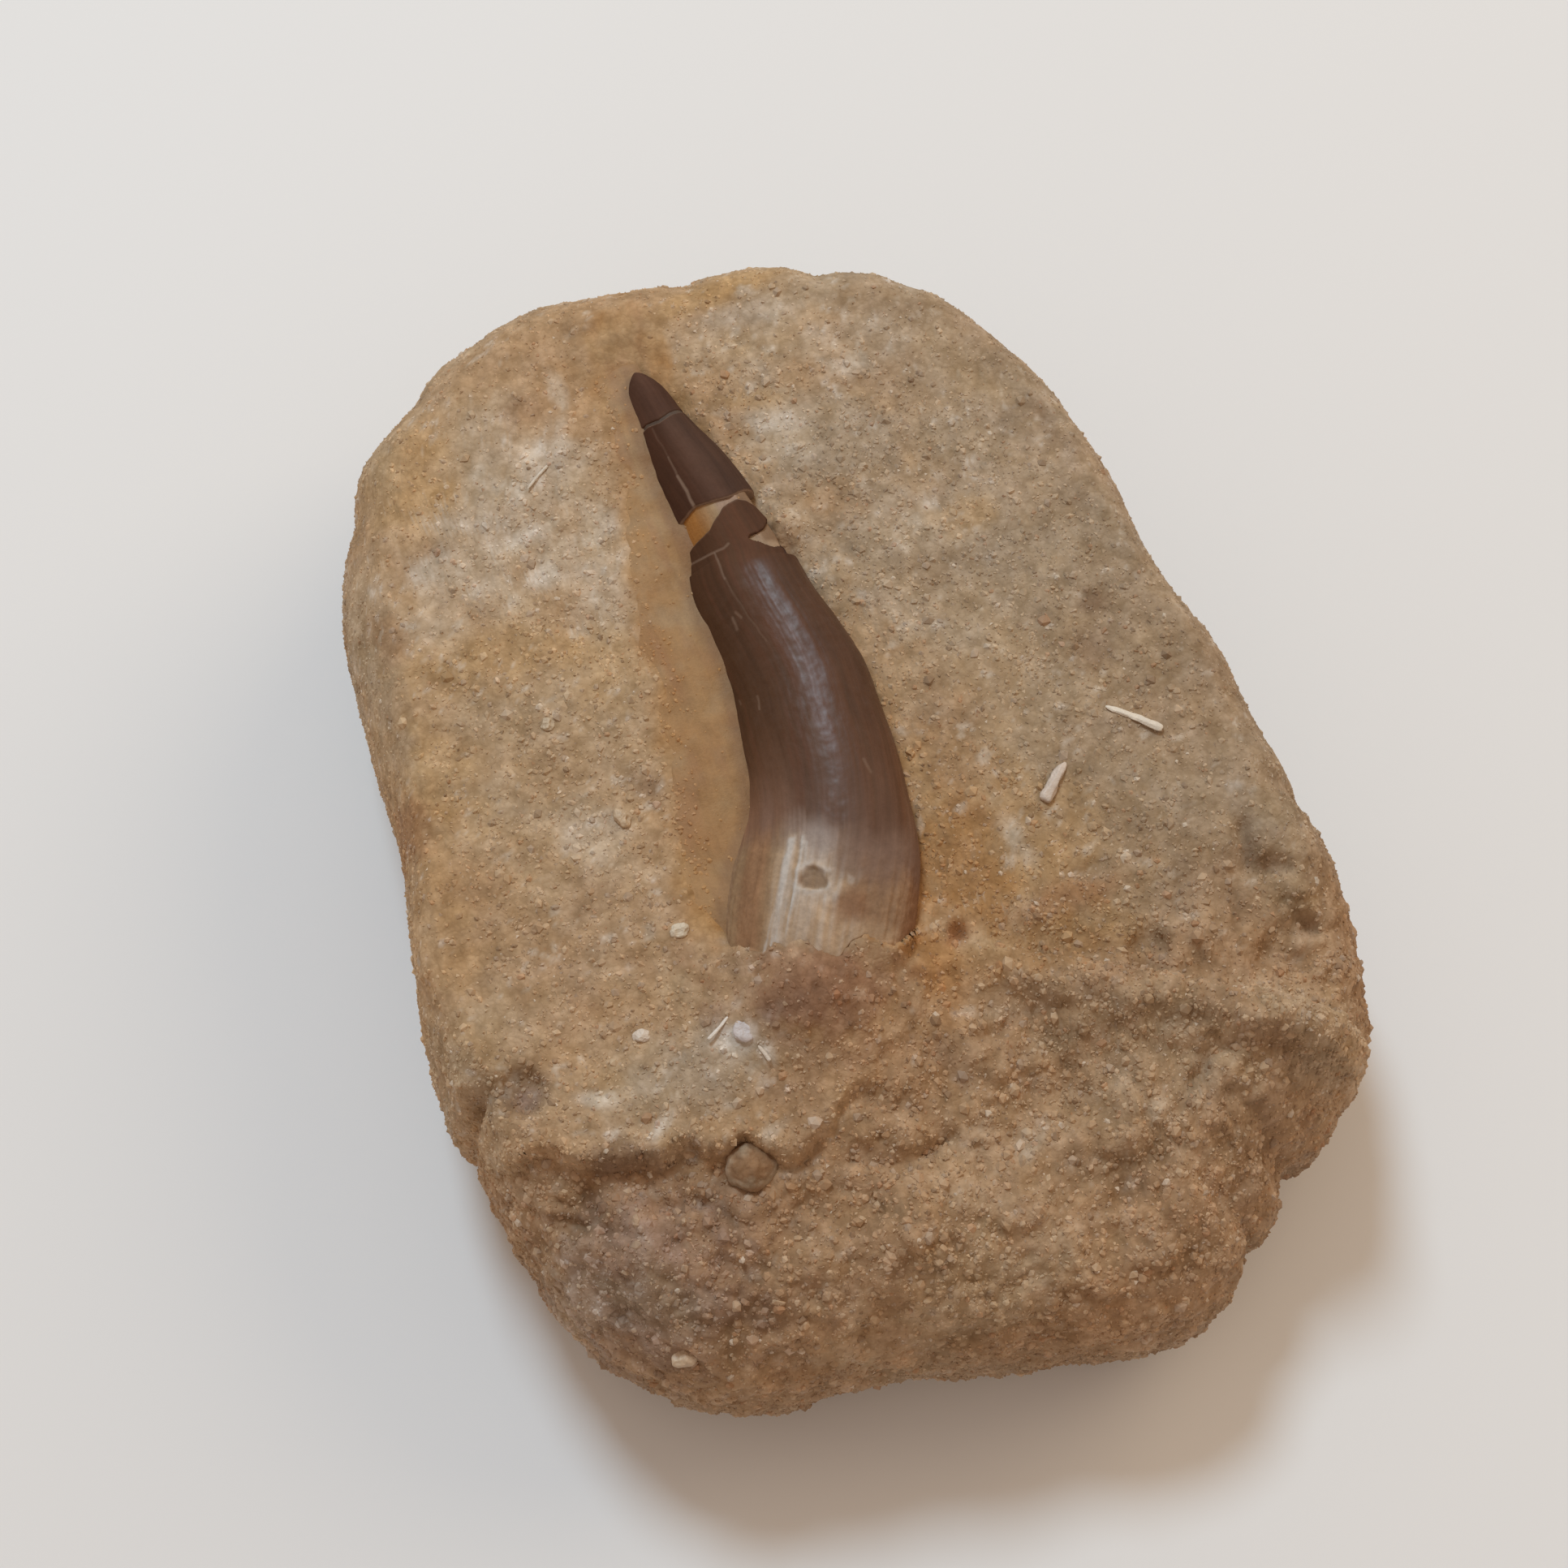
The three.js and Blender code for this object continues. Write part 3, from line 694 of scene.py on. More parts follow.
def banked(x, y, height):
    """The face's height, raised to the tooth's broken base so that the rock carries on the tooth's form."""
    length, side, half = on_tooth(x, y)
    past = past_root_beside(length, side, half)
    crest = np.interp(length, AXIS_LENGTH, AXIS[:, 3])
    mould = AXIS_HEIGHT + (crest - AXIS_HEIGHT - 0.15) * section_rise(side, half + 0.25)
    share = smooth((past + 1.1) / 0.9) * (1 - smooth((past - 0.4) / 4.2))
    return height + np.maximum(mould - height, 0) * share


def rim_radius(angle):
    """Radius of the outline, with the small nicks."""
    radius = around(RIM_RADII, angle)
    degrees = np.degrees(angle) % 360
    for centre, depth, width in RIM_NICKS:
        radius = radius - depth * np.exp(-((degrees - centre) / width) ** 2)
    return radius


def putty_edges(y):
    """x of the putty's left edge and of the line under the tooth, at y."""
    return tuple(np.interp(-y, *np.array([(-q, p) for p, q in line]).T) for line in (PUTTY_LEFT, PUTTY_RIGHT))


def putty_tone(points):
    """Colour of putty: ochre to honey, here and there beige, dragged out lengthwise."""
    tone = mix(PUTTY["ochre"], PUTTY["honey"], smooth(0.5 + fractal(points, 4, 3, seed=83)))
    pale = smooth(0.25 + fractal(points, 2.3, 3, seed=84) + (points[:, 1] - 14) / 50)
    tone = mix(tone, PUTTY["beige"], 0.55 * pale)
    return mix(tone, STONE["clay"], 0.25 * smooth(noise(points * [1, 0.2, 1], 1.1, 85) * 1.6))


def putty_film(points):
    """How thickly the rock is smeared with putty: 1 on the band, fading out over two ragged millimetres to
    its left, and to its right beside the tip."""
    x, y, z = points.T
    left, right = putty_edges(y)
    waver = 0.8 * fractal(points, 3, 3, seed=24) + 0.35 * fractal(points, 0.9, 2, seed=25)
    film = smooth((x - left + 1.1 + waver) / 2.4) * smooth((right + 2.2 - x + waver) / 1.2)
    return film * smooth((42 - y + waver) / 3.5) * smooth((y + 11.2 + waver) / 2) * (z > 15)


def sculpt(points, normals):
    """Moves points of the smooth slab outwards or inwards: a fine sandy roughness on the prepared face, crags
    and crumbs on the broken third and the flanks, a groove along the tooth and a bed for the putty."""
    x, y, z = points.T
    broken = np.maximum(broken_share(x, y), 0.3 * mound(x, y))
    flank = smooth((0.75 - normals[:, 2]) / 0.4)
    under = smooth(z / 5)
    calm_rim = np.maximum(
        smooth((-x - 14) / 12) * smooth((y + 8) / 14), smooth((x - 12) / 8) * smooth((y + 24) / 10)
    )
    warp = points + 0.9 * np.column_stack([noise(points, 4, s) for s in (31, 32, 33)])
    distance, number = cells(warp, 2.4, seed=4)
    crumbs, _ = cells(warp, 1.15, seed=5)
    sand, _ = cells(points, 0.75, seed=6)
    face = 0.16 * fractal(points, 3.2, 3, seed=1) + 0.1 * (0.5 - sand) + 0.08 * fractal(points, 0.9, 2, seed=2)
    coarse = (0.5 * crags(warp, 5.5, 3, seed=7) - 0.12 + 0.46 * (0.55 - distance) * (0.5 + number)
              + 0.52 * (0.5 - crumbs) + 0.2 * (0.5 - sand) - 0.2 * crags(warp, 1.9, 2, seed=13))
    side = 0.5 * fractal(warp, 7, 3, seed=9) + 0.2 * crags(warp, 2.6, 2, seed=10) + 0.13 * (0.5 - crumbs)
    side = side * (1 - 0.55 * calm_rim)
    face = face + mound(x, y) * 0.3 * crags(points, 1.8, 3, seed=12)
    out = mix(face, 0.78 * coarse, broken)
    out = mix(out, side + 0.5 * coarse * broken, flank) * under

    length, offset, half = on_tooth(x, y)
    inside_ends = smooth((length + 0.5) / 0.8) * smooth((length_at(-11) - length) / 1.5)
    reach = np.abs(offset) - 0.96 * half
    rim = np.exp(-(reach / 0.4) ** 2) * (0.22 + 0.2 * noise(points, 3, 14))
    out = out - (rim + 1.6 * smooth((-reach - 0.5) / 0.8)) * inside_ends * (z > 15)
    past = past_root_beside(length, offset, half)
    under_root = smooth((-past - 0.32) / 0.35) * smooth((length - length_at(-9.5)) / 1.5)
    under_root = under_root * smooth((-reach - 0.1) / 0.4)
    out = out - 0.4 * under_root * (1 - 0.8 * smooth(offset / half / 0.3 - 1.6)) * (z > 15)
    film = putty_film(points)
    left, right = putty_edges(y)
    beside_tip = smooth((y - 30.5) / 1.5)
    bed = smooth((x - left - 1.1) / 1.2) * film * (1 - beside_tip * smooth((x - right + 1.4) / 1))
    bed = bed * (1 - smooth((y - 34) / 2))
    out = mix(out, out * 0.45, 0.85 * film) - 0.5 * bed
    return points + normals * out[:, None], out


# Stains, laid one over the other: tone, x, y, half length, half width, turn in degrees, strength. Some are
# painted light and shade: the umber patches on the pits and groove at (22.8, 5.2), (-12.4, 2.7), (25, 19),
# (27.3, -17) and on the hollow at (-28.1, -15) add painted shade to their own umber, the umber strip at
# (-22.5, -22.3) is painted shadow under the ledge, and the buff and pale patches at (-28, 19.5), (-29, -29),
# (26.5, -29.5) and (28, -19.5) are painted light on flanks and pits that the lamps leave darker.
STAINS = [
    ("buff", -18, 6, 12, 9, 60, 0.5), ("pale", -16, 26.5, 8, 6, 20, 0.7), ("pale", -20.5, 22, 6, 3, 40, 0.4),
    ("pale", -10.5, 19, 3.6, 7, 0, 0.6), ("grey", 8, 24, 8, 6, -30, 0.7), ("pale", 6, 26, 3, 4.5, -20, 0.5),
    ("grey", 13, 12, 9, 7, -30, 0.65), ("pale", 11, 8.5, 6, 3, -30, 0.5), ("pale", 9, -1, 2.2, 6, 5, 0.3),
    ("pale", 10.2, -7.5, 1.3, 3.4, 15, 0.45), ("pale", -16.5, -17.3, 6, 2.4, 10, 0.48),
    ("grey", -16, -18.4, 8, 3.4, 5, 0.65), ("pale", -17, 0, 2.2, 3.8, 25, 0.7),
    ("pale", 13, 31, 6, 2.2, -15, 0.45), ("pale", -13.5, 34.5, 3, 1.6, 30, 0.35),
    ("pale", 4, 36, 9, 2.4, -8, 0.3), ("pale", 14, 15, 4, 2.6, -20, 0.5), ("buff", 15, 3, 8, 8, 0, 0.5),
    ("buff", -28, 19.5, 3, 9, 8, 0.3), ("ochre", -31, 4, 4, 14, 0, 0.42), ("ochre", -22, 33, 5, 3, 40, 0.4),
    ("ochre", -19.5, 15.8, 7, 2.4, -14, 0.42), ("ochre", -12, 12.5, 3, 3.5, 0, 0.35),
    ("ochre", -26, 8, 2.6, 5, 0, 0.35), ("pale", 17.5, 31, 4, 1.6, -30, 0.35),
    ("ochre", 16, 14.8, 2.8, 1.5, -20, 0.45), ("ochre", 8, -4.5, 3.2, 6.5, 20, 0.45),
    ("ochre", 11, -11, 8, 5, -15, 0.4), ("amber", 6.6, -10.5, 3.2, 5.5, -10, 0.5),
    ("amber", 2.4, -16.5, 2.2, 4.5, -12, 0.62), ("rust", 4.2, -15, 1.3, 1.1, 0, 0.8),
    ("rust", 11.5, -15.2, 5.5, 1.5, 8, 0.45), ("clay", -6.8, -16.2, 6.6, 3.6, -18, 0.78),
    ("brown", -2.5, -20.5, 4.5, 2.5, 0, 0.3), ("buff", 6, -30, 15, 6, -6, 0.3),
    ("buff", 15, -27, 9, 4, -10, 0.4), ("umber", 27.3, -17, 2, 0.9, -50, 0.28),
    ("umber", 22.8, 5.2, 1.3, 1.0, 0, 0.4), ("umber", 21, 1.8, 1.8, 2, 0, 0.4),
    ("umber", 25, 19, 1.2, 3.8, 8, 0.25), ("umber", -12.4, 2.7, 1.2, 1.5, 0, 0.4),
    ("umber", -20, -26.5, 9, 3.6, -14, 0.32), ("umber", -22.5, -22.3, 4, 1.3, -12, 0.5),
    ("pale", -29, -29, 4, 3.2, -30, 0.6), ("umber", -28.1, -15, 2.2, 1.9, 0, 0.42),
    ("plum", -27.5, -15.7, 1.1, 1, 0, 0.65), ("plum", -24, -30, 8, 5, -20, 0.55),
    ("umber", -19, -33, 5, 3, -25, 0.2), ("buff", -3, -38, 9, 3.4, 4, 0.65), ("brown", 10, -35.5, 3, 2, 0, 0.3),
    ("buff", -31, -12, 3, 4, 0, 0.3), ("brown", -31, 3, 3, 12, 0, 0.25), ("rust", -29.5, 6.5, 1.6, 3, 20, 0.4),
    ("chalk", -23.3, -17.5, 1.5, 0.8, -25, 0.75), ("chalk", -19.6, -20.8, 1.3, 0.55, 35, 0.75),
    ("chalk", -12.8, -23.7, 1.2, 0.5, 20, 0.5), ("chalk", -11.2, -18.6, 0.6, 1.3, 15, 0.55),
    ("chalk", -12.6, -17, 1.9, 1.4, 0, 0.7), ("pale", 4.1, -29.9, 1.3, 0.8, 40, 0.5),
    ("pale", 13.4, -30.9, 1, 0.9, 0, 0.45), ("pale", 8, -21.4, 4.5, 0.5, -8, 0.4),
    ("grey", -24, -31, 4, 2, -30, 0.6), ("brown", -19, -7, 8, 5, 15, 0.45), ("brown", -11, -12, 4, 3, -10, 0.5),
    ("chalk", 4.4, 14.2, 0.9, 0.5, 0, 0.35), ("chalk", 12.9, 15.7, 0.9, 0.6, 30, 0.4),
    ("chalk", 10.5, -10, 0.9, 0.8, 0, 0.4), ("chalk", 11.8, 29.7, 1, 0.7, 0, 0.4),
    ("chalk", -14.3, 24.3, 2.4, 0.8, 5, 0.6), ("chalk", -22.2, 24.4, 2.4, 0.9, 35, 0.6),
    ("chalk", -14.4, 20.8, 1.5, 1.2, 0, 0.6), ("chalk", -8.2, 23.4, 0.9, 1.1, 0, 0.5),
    ("chalk", -10.8, 30.2, 2.6, 1.3, 10, 0.4), ("chalk", -14.1, 27.5, 1.1, 0.7, 20, 0.55),
    ("chalk", -8.6, 35, 0.7, 1.8, 0, 0.35), ("ochre", -20.5, 29.5, 4, 2.4, 50, 0.45),
    ("chalk", 12.4, 29.2, 1.5, 1, 0, 0.5), ("chalk", 5.4, 26.9, 2, 1, -20, 0.3),
    ("chalk", 8.2, 36, 5, 0.9, -10, 0.3), ("chalk", 10.7, -9.8, 0.9, 2, 10, 0.45),
    ("ochre", -18.9, 29.9, 1.6, 1, 30, 0.5), ("brown", -26.4, 20.3, 1.4, 2.4, 0, 0.6),
    ("brown", -11.4, 34, 1.6, 1.4, 0, 0.45), ("ochre", 4.5, 38.7, 6, 1.4, 5, 0.6),
    ("ochre", 5, 29.2, 3, 0.9, -15, 0.4), ("ochre", 10, -17.6, 6.5, 2.2, -12, 0.5),
    ("buff", 12, -23.5, 5, 1.6, -8, 0.5), ("brown", -9.5, -21.5, 3, 2.6, 0, 0.5),
    ("buff", 20.5, 27, 2.4, 4, 30, 0.5), ("brown", 8.8, -1.5, 2.8, 5.5, 0, 0.45),
    ("brown", 9.5, -18.5, 5.5, 1.8, -12, 0.5), ("pale", 4.6, 17.4, 1.9, 2.6, 0, 0.5),
    ("buff", 26.5, -29.5, 4, 5, 20, 0.6), ("buff", 28, -19.5, 2.5, 3.5, 0, 0.5),
]


def stone_tone(points, lift=0.0):
    """Colour of the rock at points: tan, greyer to the right and browner on the broken third, then the stains,
    with ragged borders, then chalky flecks and warm or cool mottling, with painted shade in the pits, hollows
    and grooves and beside the tooth. lift, from -1 to 1, is the relief: it paints light on knobs and shade in
    gaps."""
    x, y, z = points.T
    broken = broken_share(x, y)
    tone = mix(STONE["tan"], STONE["buff"], smooth(0.45 + 0.6 * fractal(points, 9, 3, seed=41)))
    tone = mix(tone, STONE["grey"], 0.6 * smooth((x - 6) / 14) * (1 - 0.6 * broken))
    tone = mix(tone, STONE["brown"], 0.62 * broken)
    ragged = 0.55 * fractal(points, 3.5, 3, seed=42) + 0.35 * fractal(points, 1.1, 2, seed=43)
    pale = np.zeros(len(points))
    for name, cx, cy, reach, width, turn, strength in STAINS:
        near = np.flatnonzero(np.hypot(x - cx, y - cy) < 2.2 * max(reach, width))
        c, s = math.cos(math.radians(turn)), math.sin(math.radians(turn))
        u = ((x[near] - cx) * c + (y[near] - cy) * s) / reach
        v = ((y[near] - cy) * c - (x[near] - cx) * s) / width
        share = strength * smooth(1.35 - np.hypot(u, v) + ragged[near])
        tone[near] = mix(tone[near], STONE[name], share)
        if name in ("pale", "chalk"):
            pale[near] = np.maximum(pale[near], share)
    chalky = smooth((fractal(points * [1.0, 1.5, 1], 1.9, 3, seed=44) - 0.42 + 0.36 * pale) / 0.24)
    plain = (1 - 0.5 * broken) * (1 - 0.85 * mound(x, y))
    tone = mix(tone, STONE["chalk"], 0.42 * chalky * plain)
    flecks = smooth((fractal(points, 0.8, 2, seed=48) + 0.5 * fractal(points, 6, 2, seed=49) - 0.5) / 0.2)
    tone = mix(tone, STONE["chalk"], 0.4 * flecks * plain)
    # painted shade: umber darkens the pits, hollows and grooves by their depth
    tone = mix(tone, STONE["umber"], 0.32 * smooth(1.3 * (humps(x, y, PITS) + 0.5 * sunk(x, y)) * (z > 12)))
    tone = mix(tone, STONE["grey"], 0.4 * smooth((15 - z) / 8) * smooth((-30 - y) / 6))
    film = putty_film(points)
    tone = mix(tone, putty_tone(points) * 1.3, 0.9 * film)
    # painted shade in amber along both sides of the tooth where it meets the rock, weaker on the right above y
    # 10
    length, side, half = on_tooth(x, y)
    beside = (length > 0) & (length < ROOT_END) & (z > 15)
    spread = 0.7 + 0.5 * np.clip(ragged, -0.8, 1)
    painted_contact_shade = np.exp(-(np.maximum(np.abs(side) - half, 0) / spread) ** 2) * beside
    tone = mix(tone, STONE["amber"], (0.5 - 0.35 * smooth((y - 10) / 4) * (side > 0)) * painted_contact_shade)
    warm = fractal(points, 2.1, 3, seed=45)
    tone = tone * (1 + np.outer(warm, [0.04, 0.005, -0.07]))
    dull = fractal(points, 1.7, 3, seed=46) * (0.3 - 0.06 * broken) + fractal(points, 4.5, 2, seed=47) * 0.11
    low = 1 - 0.1 * smooth((12 - z) / 12)
    low = low * (1 + 0.07 * smooth((-27 - x) / 4) * smooth((y + 14) / 8))
    low = low * (1 - 0.08 * smooth((x - 3) / 9) * smooth((y + 30) / 16) * smooth((18 - y) / 12))
    low = low * (1 - 0.07 * np.exp(-((x - 8) / 8) ** 2 - ((y + 9) / 13) ** 2) * (z > 12))
    # painted light and shade from the relief: knobs lighter, gaps darker
    shade = (0.2 + 0.06 * broken) * np.clip(lift, -1, 1)
    level = np.maximum((0.95 + dull + shade) * low, 0.1)
    return np.clip(tone * [0.98, 1, 1.03] * level[:, None] ** BROWNING, 0.01, 0.95)


def slab():
    """The slab as a closed skin. Its top is a square grid drawn onto a disc, ring s of the square becoming a
    ring of the outline: the face for s below face_share, then the shoulder down to the widest line. The
    underside follows in rings to the flat base."""
    count = 283
    face_share = 0.68
    base_rings = 7
    a, b = np.meshgrid(np.linspace(-1, 1, count), np.linspace(-1, 1, count), indexing="ij")
    a, b = a.ravel(), b.ravel()
    share = np.maximum(np.abs(a), np.abs(b))
    steep = np.abs(b) > np.abs(a)
    ratio = np.where(steep, a, b) / np.where(share > 0, np.where(steep, b, a), 1)
    angle = np.where(steep, np.pi / 2 - np.pi / 4 * ratio, np.pi / 4 * ratio)
    angle = angle + np.pi * (np.where(steep, b, a) < 0)

    radius = rim_radius(angle)
    width = around(SHOULDER_WIDTHS, angle)
    turn = np.clip((share - face_share) / (1 - face_share), 0, 1) * np.pi / 2
    on_face = (radius - width) * share / face_share
    reach = np.where(share <= face_share, on_face, radius - width + width * np.sin(turn))
    x, y = reach * np.cos(angle), reach * np.sin(angle)
    z = RIM_HEIGHT + (banked(x, y, face_height(x, y)) - RIM_HEIGHT) * np.cos(turn)
    top = np.column_stack([x, y, z])

    place = np.arange(count * count).reshape(count, count)
    quads = np.stack([place[:-1, :-1], place[1:, :-1], place[1:, 1:], place[:-1, 1:]], axis=-1).reshape(-1, 4)
    edge = np.concatenate([place[:-1, 0], place[-1, :-1], place[:0:-1, -1], place[0, :0:-1]])
    edge_angle, edge_radius = angle[edge], radius[edge]
    layers = [top]
    rings = [edge]
    for k in range(1, base_rings + 1):
        tuck = k / base_rings * np.pi / 2
        ring_radius = edge_radius - TUCK * (1 - math.cos(tuck))
        height = np.full(len(edge), RIM_HEIGHT * (1 - math.sin(tuck)))
        plan = [ring_radius * np.cos(edge_angle), ring_radius * np.sin(edge_angle)]
        layers.append(np.column_stack([*plan, height]))
        rings.append(len(top) + (k - 1) * len(edge) + np.arange(len(edge)))
    layers.append(np.zeros((1, 3)))
    points = np.concatenate(layers)
    sides = [
        np.stack([upper, lower, np.roll(lower, -1), np.roll(upper, -1)], axis=-1)
        for upper, lower in zip(rings[:-1], rings[1:])
    ]
    base = np.stack([np.roll(rings[-1], -1), rings[-1], np.full(len(edge), len(points) - 1)], axis=-1)
    faces = [np.concatenate([quads, *sides]), base]
    points, out = sculpt(points, normals_of(points, faces))
    points[:, 2] = np.maximum(points[:, 2], 0)
    return points, faces, out


# ---------- sand ----------

def octahedron():
    points = np.array([[1, 0, 0], [-1, 0, 0], [0, 1, 0], [0, -1, 0], [0, 0, 1], [0, 0, -1]], float)
    faces = [[a, b, c] if s > 0 else [a, c, b]
             for i, a in enumerate((0, 1)) for j, b in enumerate((2, 3)) for k, c in enumerate((4, 5))
             for s in [(1 - 2 * i) * (1 - 2 * j) * (1 - 2 * k)]]
    return points, np.array(faces)


def icosahedron():
    g = (1 + math.sqrt(5)) / 2
    points = np.array([[-1, g, 0], [1, g, 0], [-1, -g, 0], [1, -g, 0], [0, -1, g], [0, 1, g],
                       [0, -1, -g], [0, 1, -g], [g, 0, -1], [g, 0, 1], [-g, 0, -1], [-g, 0, 1]], float)
    faces = np.array([[0, 11, 5], [0, 5, 1], [0, 1, 7], [0, 7, 10], [0, 10, 11], [1, 5, 9], [5, 11, 4],
                      [11, 10, 2], [10, 7, 6], [7, 1, 8], [3, 9, 4], [3, 4, 2], [3, 2, 6], [3, 6, 8],
                      [3, 8, 9], [4, 9, 5], [2, 4, 11], [6, 2, 10], [8, 6, 7], [9, 8, 1]])
    return points / math.sqrt(1 + g * g), faces


def scatter(ground, faces, count, allowed, random):
    """Random places on the ground's faces, evenly by area where allowed is 1: points and normals."""
    quads = faces[0]
    corners = ground[quads]
    cross = np.cross(corners[:, 2] - corners[:, 0], corners[:, 3] - corners[:, 1])
    area = np.linalg.norm(cross, axis=1)
    weight = area * allowed[quads].mean(axis=1)
    chosen = random.choice(len(quads), count, p=weight / weight.sum())
    u, v = random.random((2, count, 1))
    picked = corners[chosen]
    near = picked[:, 0] * (1 - u) + picked[:, 1] * u
    far = picked[:, 3] * (1 - u) + picked[:, 2] * u
    return near * (1 - v) + far * v, cross[chosen] / area[chosen, None]


def grains(shape, place, normal, size, sink, random):
    """Points and faces of many small stones: each is the shape, made uneven, stretched, turned at random and
    sunk into the ground."""
    base, faces = shape
    count = len(place)
    uneven = base[None] * (1 + 0.28 * (random.random((count, len(base), 1)) - 0.5))
    stretch = size[:, None] / 2 * (0.72 + 0.56 * random.random((count, 3)))
    turn = np.linalg.qr(random.normal(size=(count, 3, 3)))[0]
    turn *= np.sign(np.linalg.det(turn))[:, None, None]
    points = np.einsum("nij,nkj->nki", turn, uneven * stretch[:, None, :])
    points += (place - normal * (size * sink)[:, None])[:, None, :]
    index = faces[None] + (np.arange(count) * len(base))[:, None, None]
    return points.reshape(-1, 3), index.reshape(-1, 3)


def grain_tones(place, random):
    """Colour of each grain: mostly near the rock's, some cream, a few white, dark or rusty."""
    tone = stone_tone(place) * (0.9 + 0.26 * random.random((len(place), 1)))
    kind = random.random(len(place))
    for low, high, colour, share in (
        (0.0, 0.13, linear("c8b092"), 0.38), (0.13, 0.14, linear("dccfbd"), 0.5),
        (0.16, 0.24, linear("6e5440"), 0.4), (0.28, 0.32, linear("a4683c"), 0.3),
        (0.32, 0.39, linear("a5917f"), 0.5),
    ):
        of_kind = (kind >= low) & (kind < high)
        tone[of_kind] = mix(tone[of_kind], colour, np.full(of_kind.sum(), share))
    return tone


def make_grains(name, shape, place, normal, size, sink, tone, material, random):
    """One piece of many grains, each with its own colour."""
    points, index = grains(shape, place, normal, size, sink, random)
    tone = np.repeat(tone, len(shape[0]), axis=0)
    make_piece(name, points, [index], material, "matrix", shaded=False, tone=tone)


def make_sand(ground, faces, material):
    """Loose and half-sunk sand on the rock: coarse grains few and wide, fine grains many."""
    random = np.random.default_rng(5)
    x, y, z = ground.T
    length, offset, half = on_tooth(x, y)
    past = past_root_beside(length, offset, half)
    on_it = (np.abs(offset) < half + 0.15) & (length > -0.5) & (past < -0.1) & (z > 15)
    broken = smooth(beyond_ledge(x, y) / 3)
    free = np.where(on_it, 0, 1 - 0.93 * putty_film(ground)) * smooth((z - 1.5) / 3) * (1 - 0.75 * mound(x, y))
    smooth_rim = smooth((np.hypot(x * 1.25, y) - 31) / 5) * np.where(x > 0, y > -24, (1 - broken) * (y > -10))
    patchy = 0.55 + 0.45 * smooth(0.5 + fractal(ground, 4, 2, seed=51))
    for name, shape, count, low, high, thin, region in (
        ("sand_coarse", icosahedron(), 2300, 0.5, 1, 0.8, 0.35 + 0.65 * broken),
        ("sand_medium", icosahedron(), 7800, 0.38, 0.6, 0.6, 1),
        ("sand_fine_upper", octahedron(), 22000, 0.24, 0.42, 0.45, y > -14),
        ("sand_fine_lower", octahedron(), 22000, 0.26, 0.46, 0.45, y <= -14),
    ):
        where = free * patchy * (1 - thin * smooth_rim) * region
        place, normal = scatter(ground, faces, count, where, random)
        size = low + (high - low) * random.random(count) ** 1.6
        make_grains(name, shape, place, normal, size, 0.22, grain_tones(place, random), material, random)


def make_stuck_sand(putty, material):
    """Sand stuck to the putty, thickest along its left edge and all but gone beside the tooth."""
    random = np.random.default_rng(6)
    points, faces = putty
    x, y, z = points.T
    left, right = putty_edges(y)
    share = (x - left) / (right - left)
    patchy = smooth(0.4 + fractal(points, 3, 2, seed=52))
    allowed = (1 - smooth((share + 0.05) / 0.45)) ** 2 * (0.2 + 0.8 * patchy) + 0.015
    allowed = allowed * (normals_of(points, faces)[:, 2] > 0.5) * (z > 23)
    place, normal = scatter(points, faces, 850, allowed, random)
    size = 0.18 + 0.3 * random.random(len(place)) ** 2
    tone = mix(grain_tones(place, random), putty_tone(place), 0.55) * 1.16
    make_grains("sand_on_putty", icosahedron(), place, normal, size, 0.2, tone, material, random)


# ---------- the tooth's pieces ----------

# Cracks filled with pale dust: (degrees round the tooth, y on the axis) along each, its width and strength.
CRACKS = [
    ([(66, 28.9), (67, 27.6), (68, 26.2)], 0.08, 0.2),
    ([(68, 26.2), (66, 24.5)], 0.1, 0.5),
    ([(66, 24.5), (66, 23), (64, 21.4)], 0.14, 1.05),
    ([(8, 18.1), (23, 18.25), (45, 17.8), (63, 17.55), (76, 17.4), (82, 17.55)], 0.12, 0.75),
    ([(64, 17.5), (67, 16.2), (69, 15.1)], 0.1, 0.65),
    ([(69, 15.1), (70, 13.8), (73, 11.5), (77, 9.2)], 0.08, 0.3),
    ([(58, 12.3), (57, 11.4)], 0.13, 0.5),
    ([(63, 12.5), (66, 11.9)], 0.12, 0.5),
    ([(52, 5.6), (51.5, 4.3)], 0.11, 0.55),
    ([(120, -1.6), (124, -2.4)], 0.16, 0.4),
    ([(30, 6.6), (31, 6.1)], 0.14, 0.4),
]
# Wedge of putty that cuts into the crown's upper end: degrees, y of its middle line, half its width.
NOTCH = [(105, 17.3, 0), (109, 17.25, 0.2), (118, 17.1, 0.35), (128, 17.1, 0.5), (140, 17.3, 0.7),
         (150, 17.5, 1)]
NOTCH_FROM, NOTCH_TO = 105, 156
WHITE_STREAKS = [
    ([(104, -9), (108, -9.2)], 0.3, 0.3),
    ([(95, -10.5), (99, -10.3)], 0.4, 0.5),
    ([(73, -6.9), (75, -8.2), (75, -10.2), (71, -12.4), (66, -13.9)], 0.5, 0.85),
    ([(68, -7), (68, -9.4), (66, -11.6), (62, -13.8)], 0.36, 0.8),
    ([(75, -10.6), (73, -12.2), (68, -13.9)], 0.24, 0.8),
    ([(77, -7.2), (78, -8.2)], 0.26, 0.7),
]
PIT = (85, -9.4, 0.98)  # degrees, y, radius of the small hollow in the root
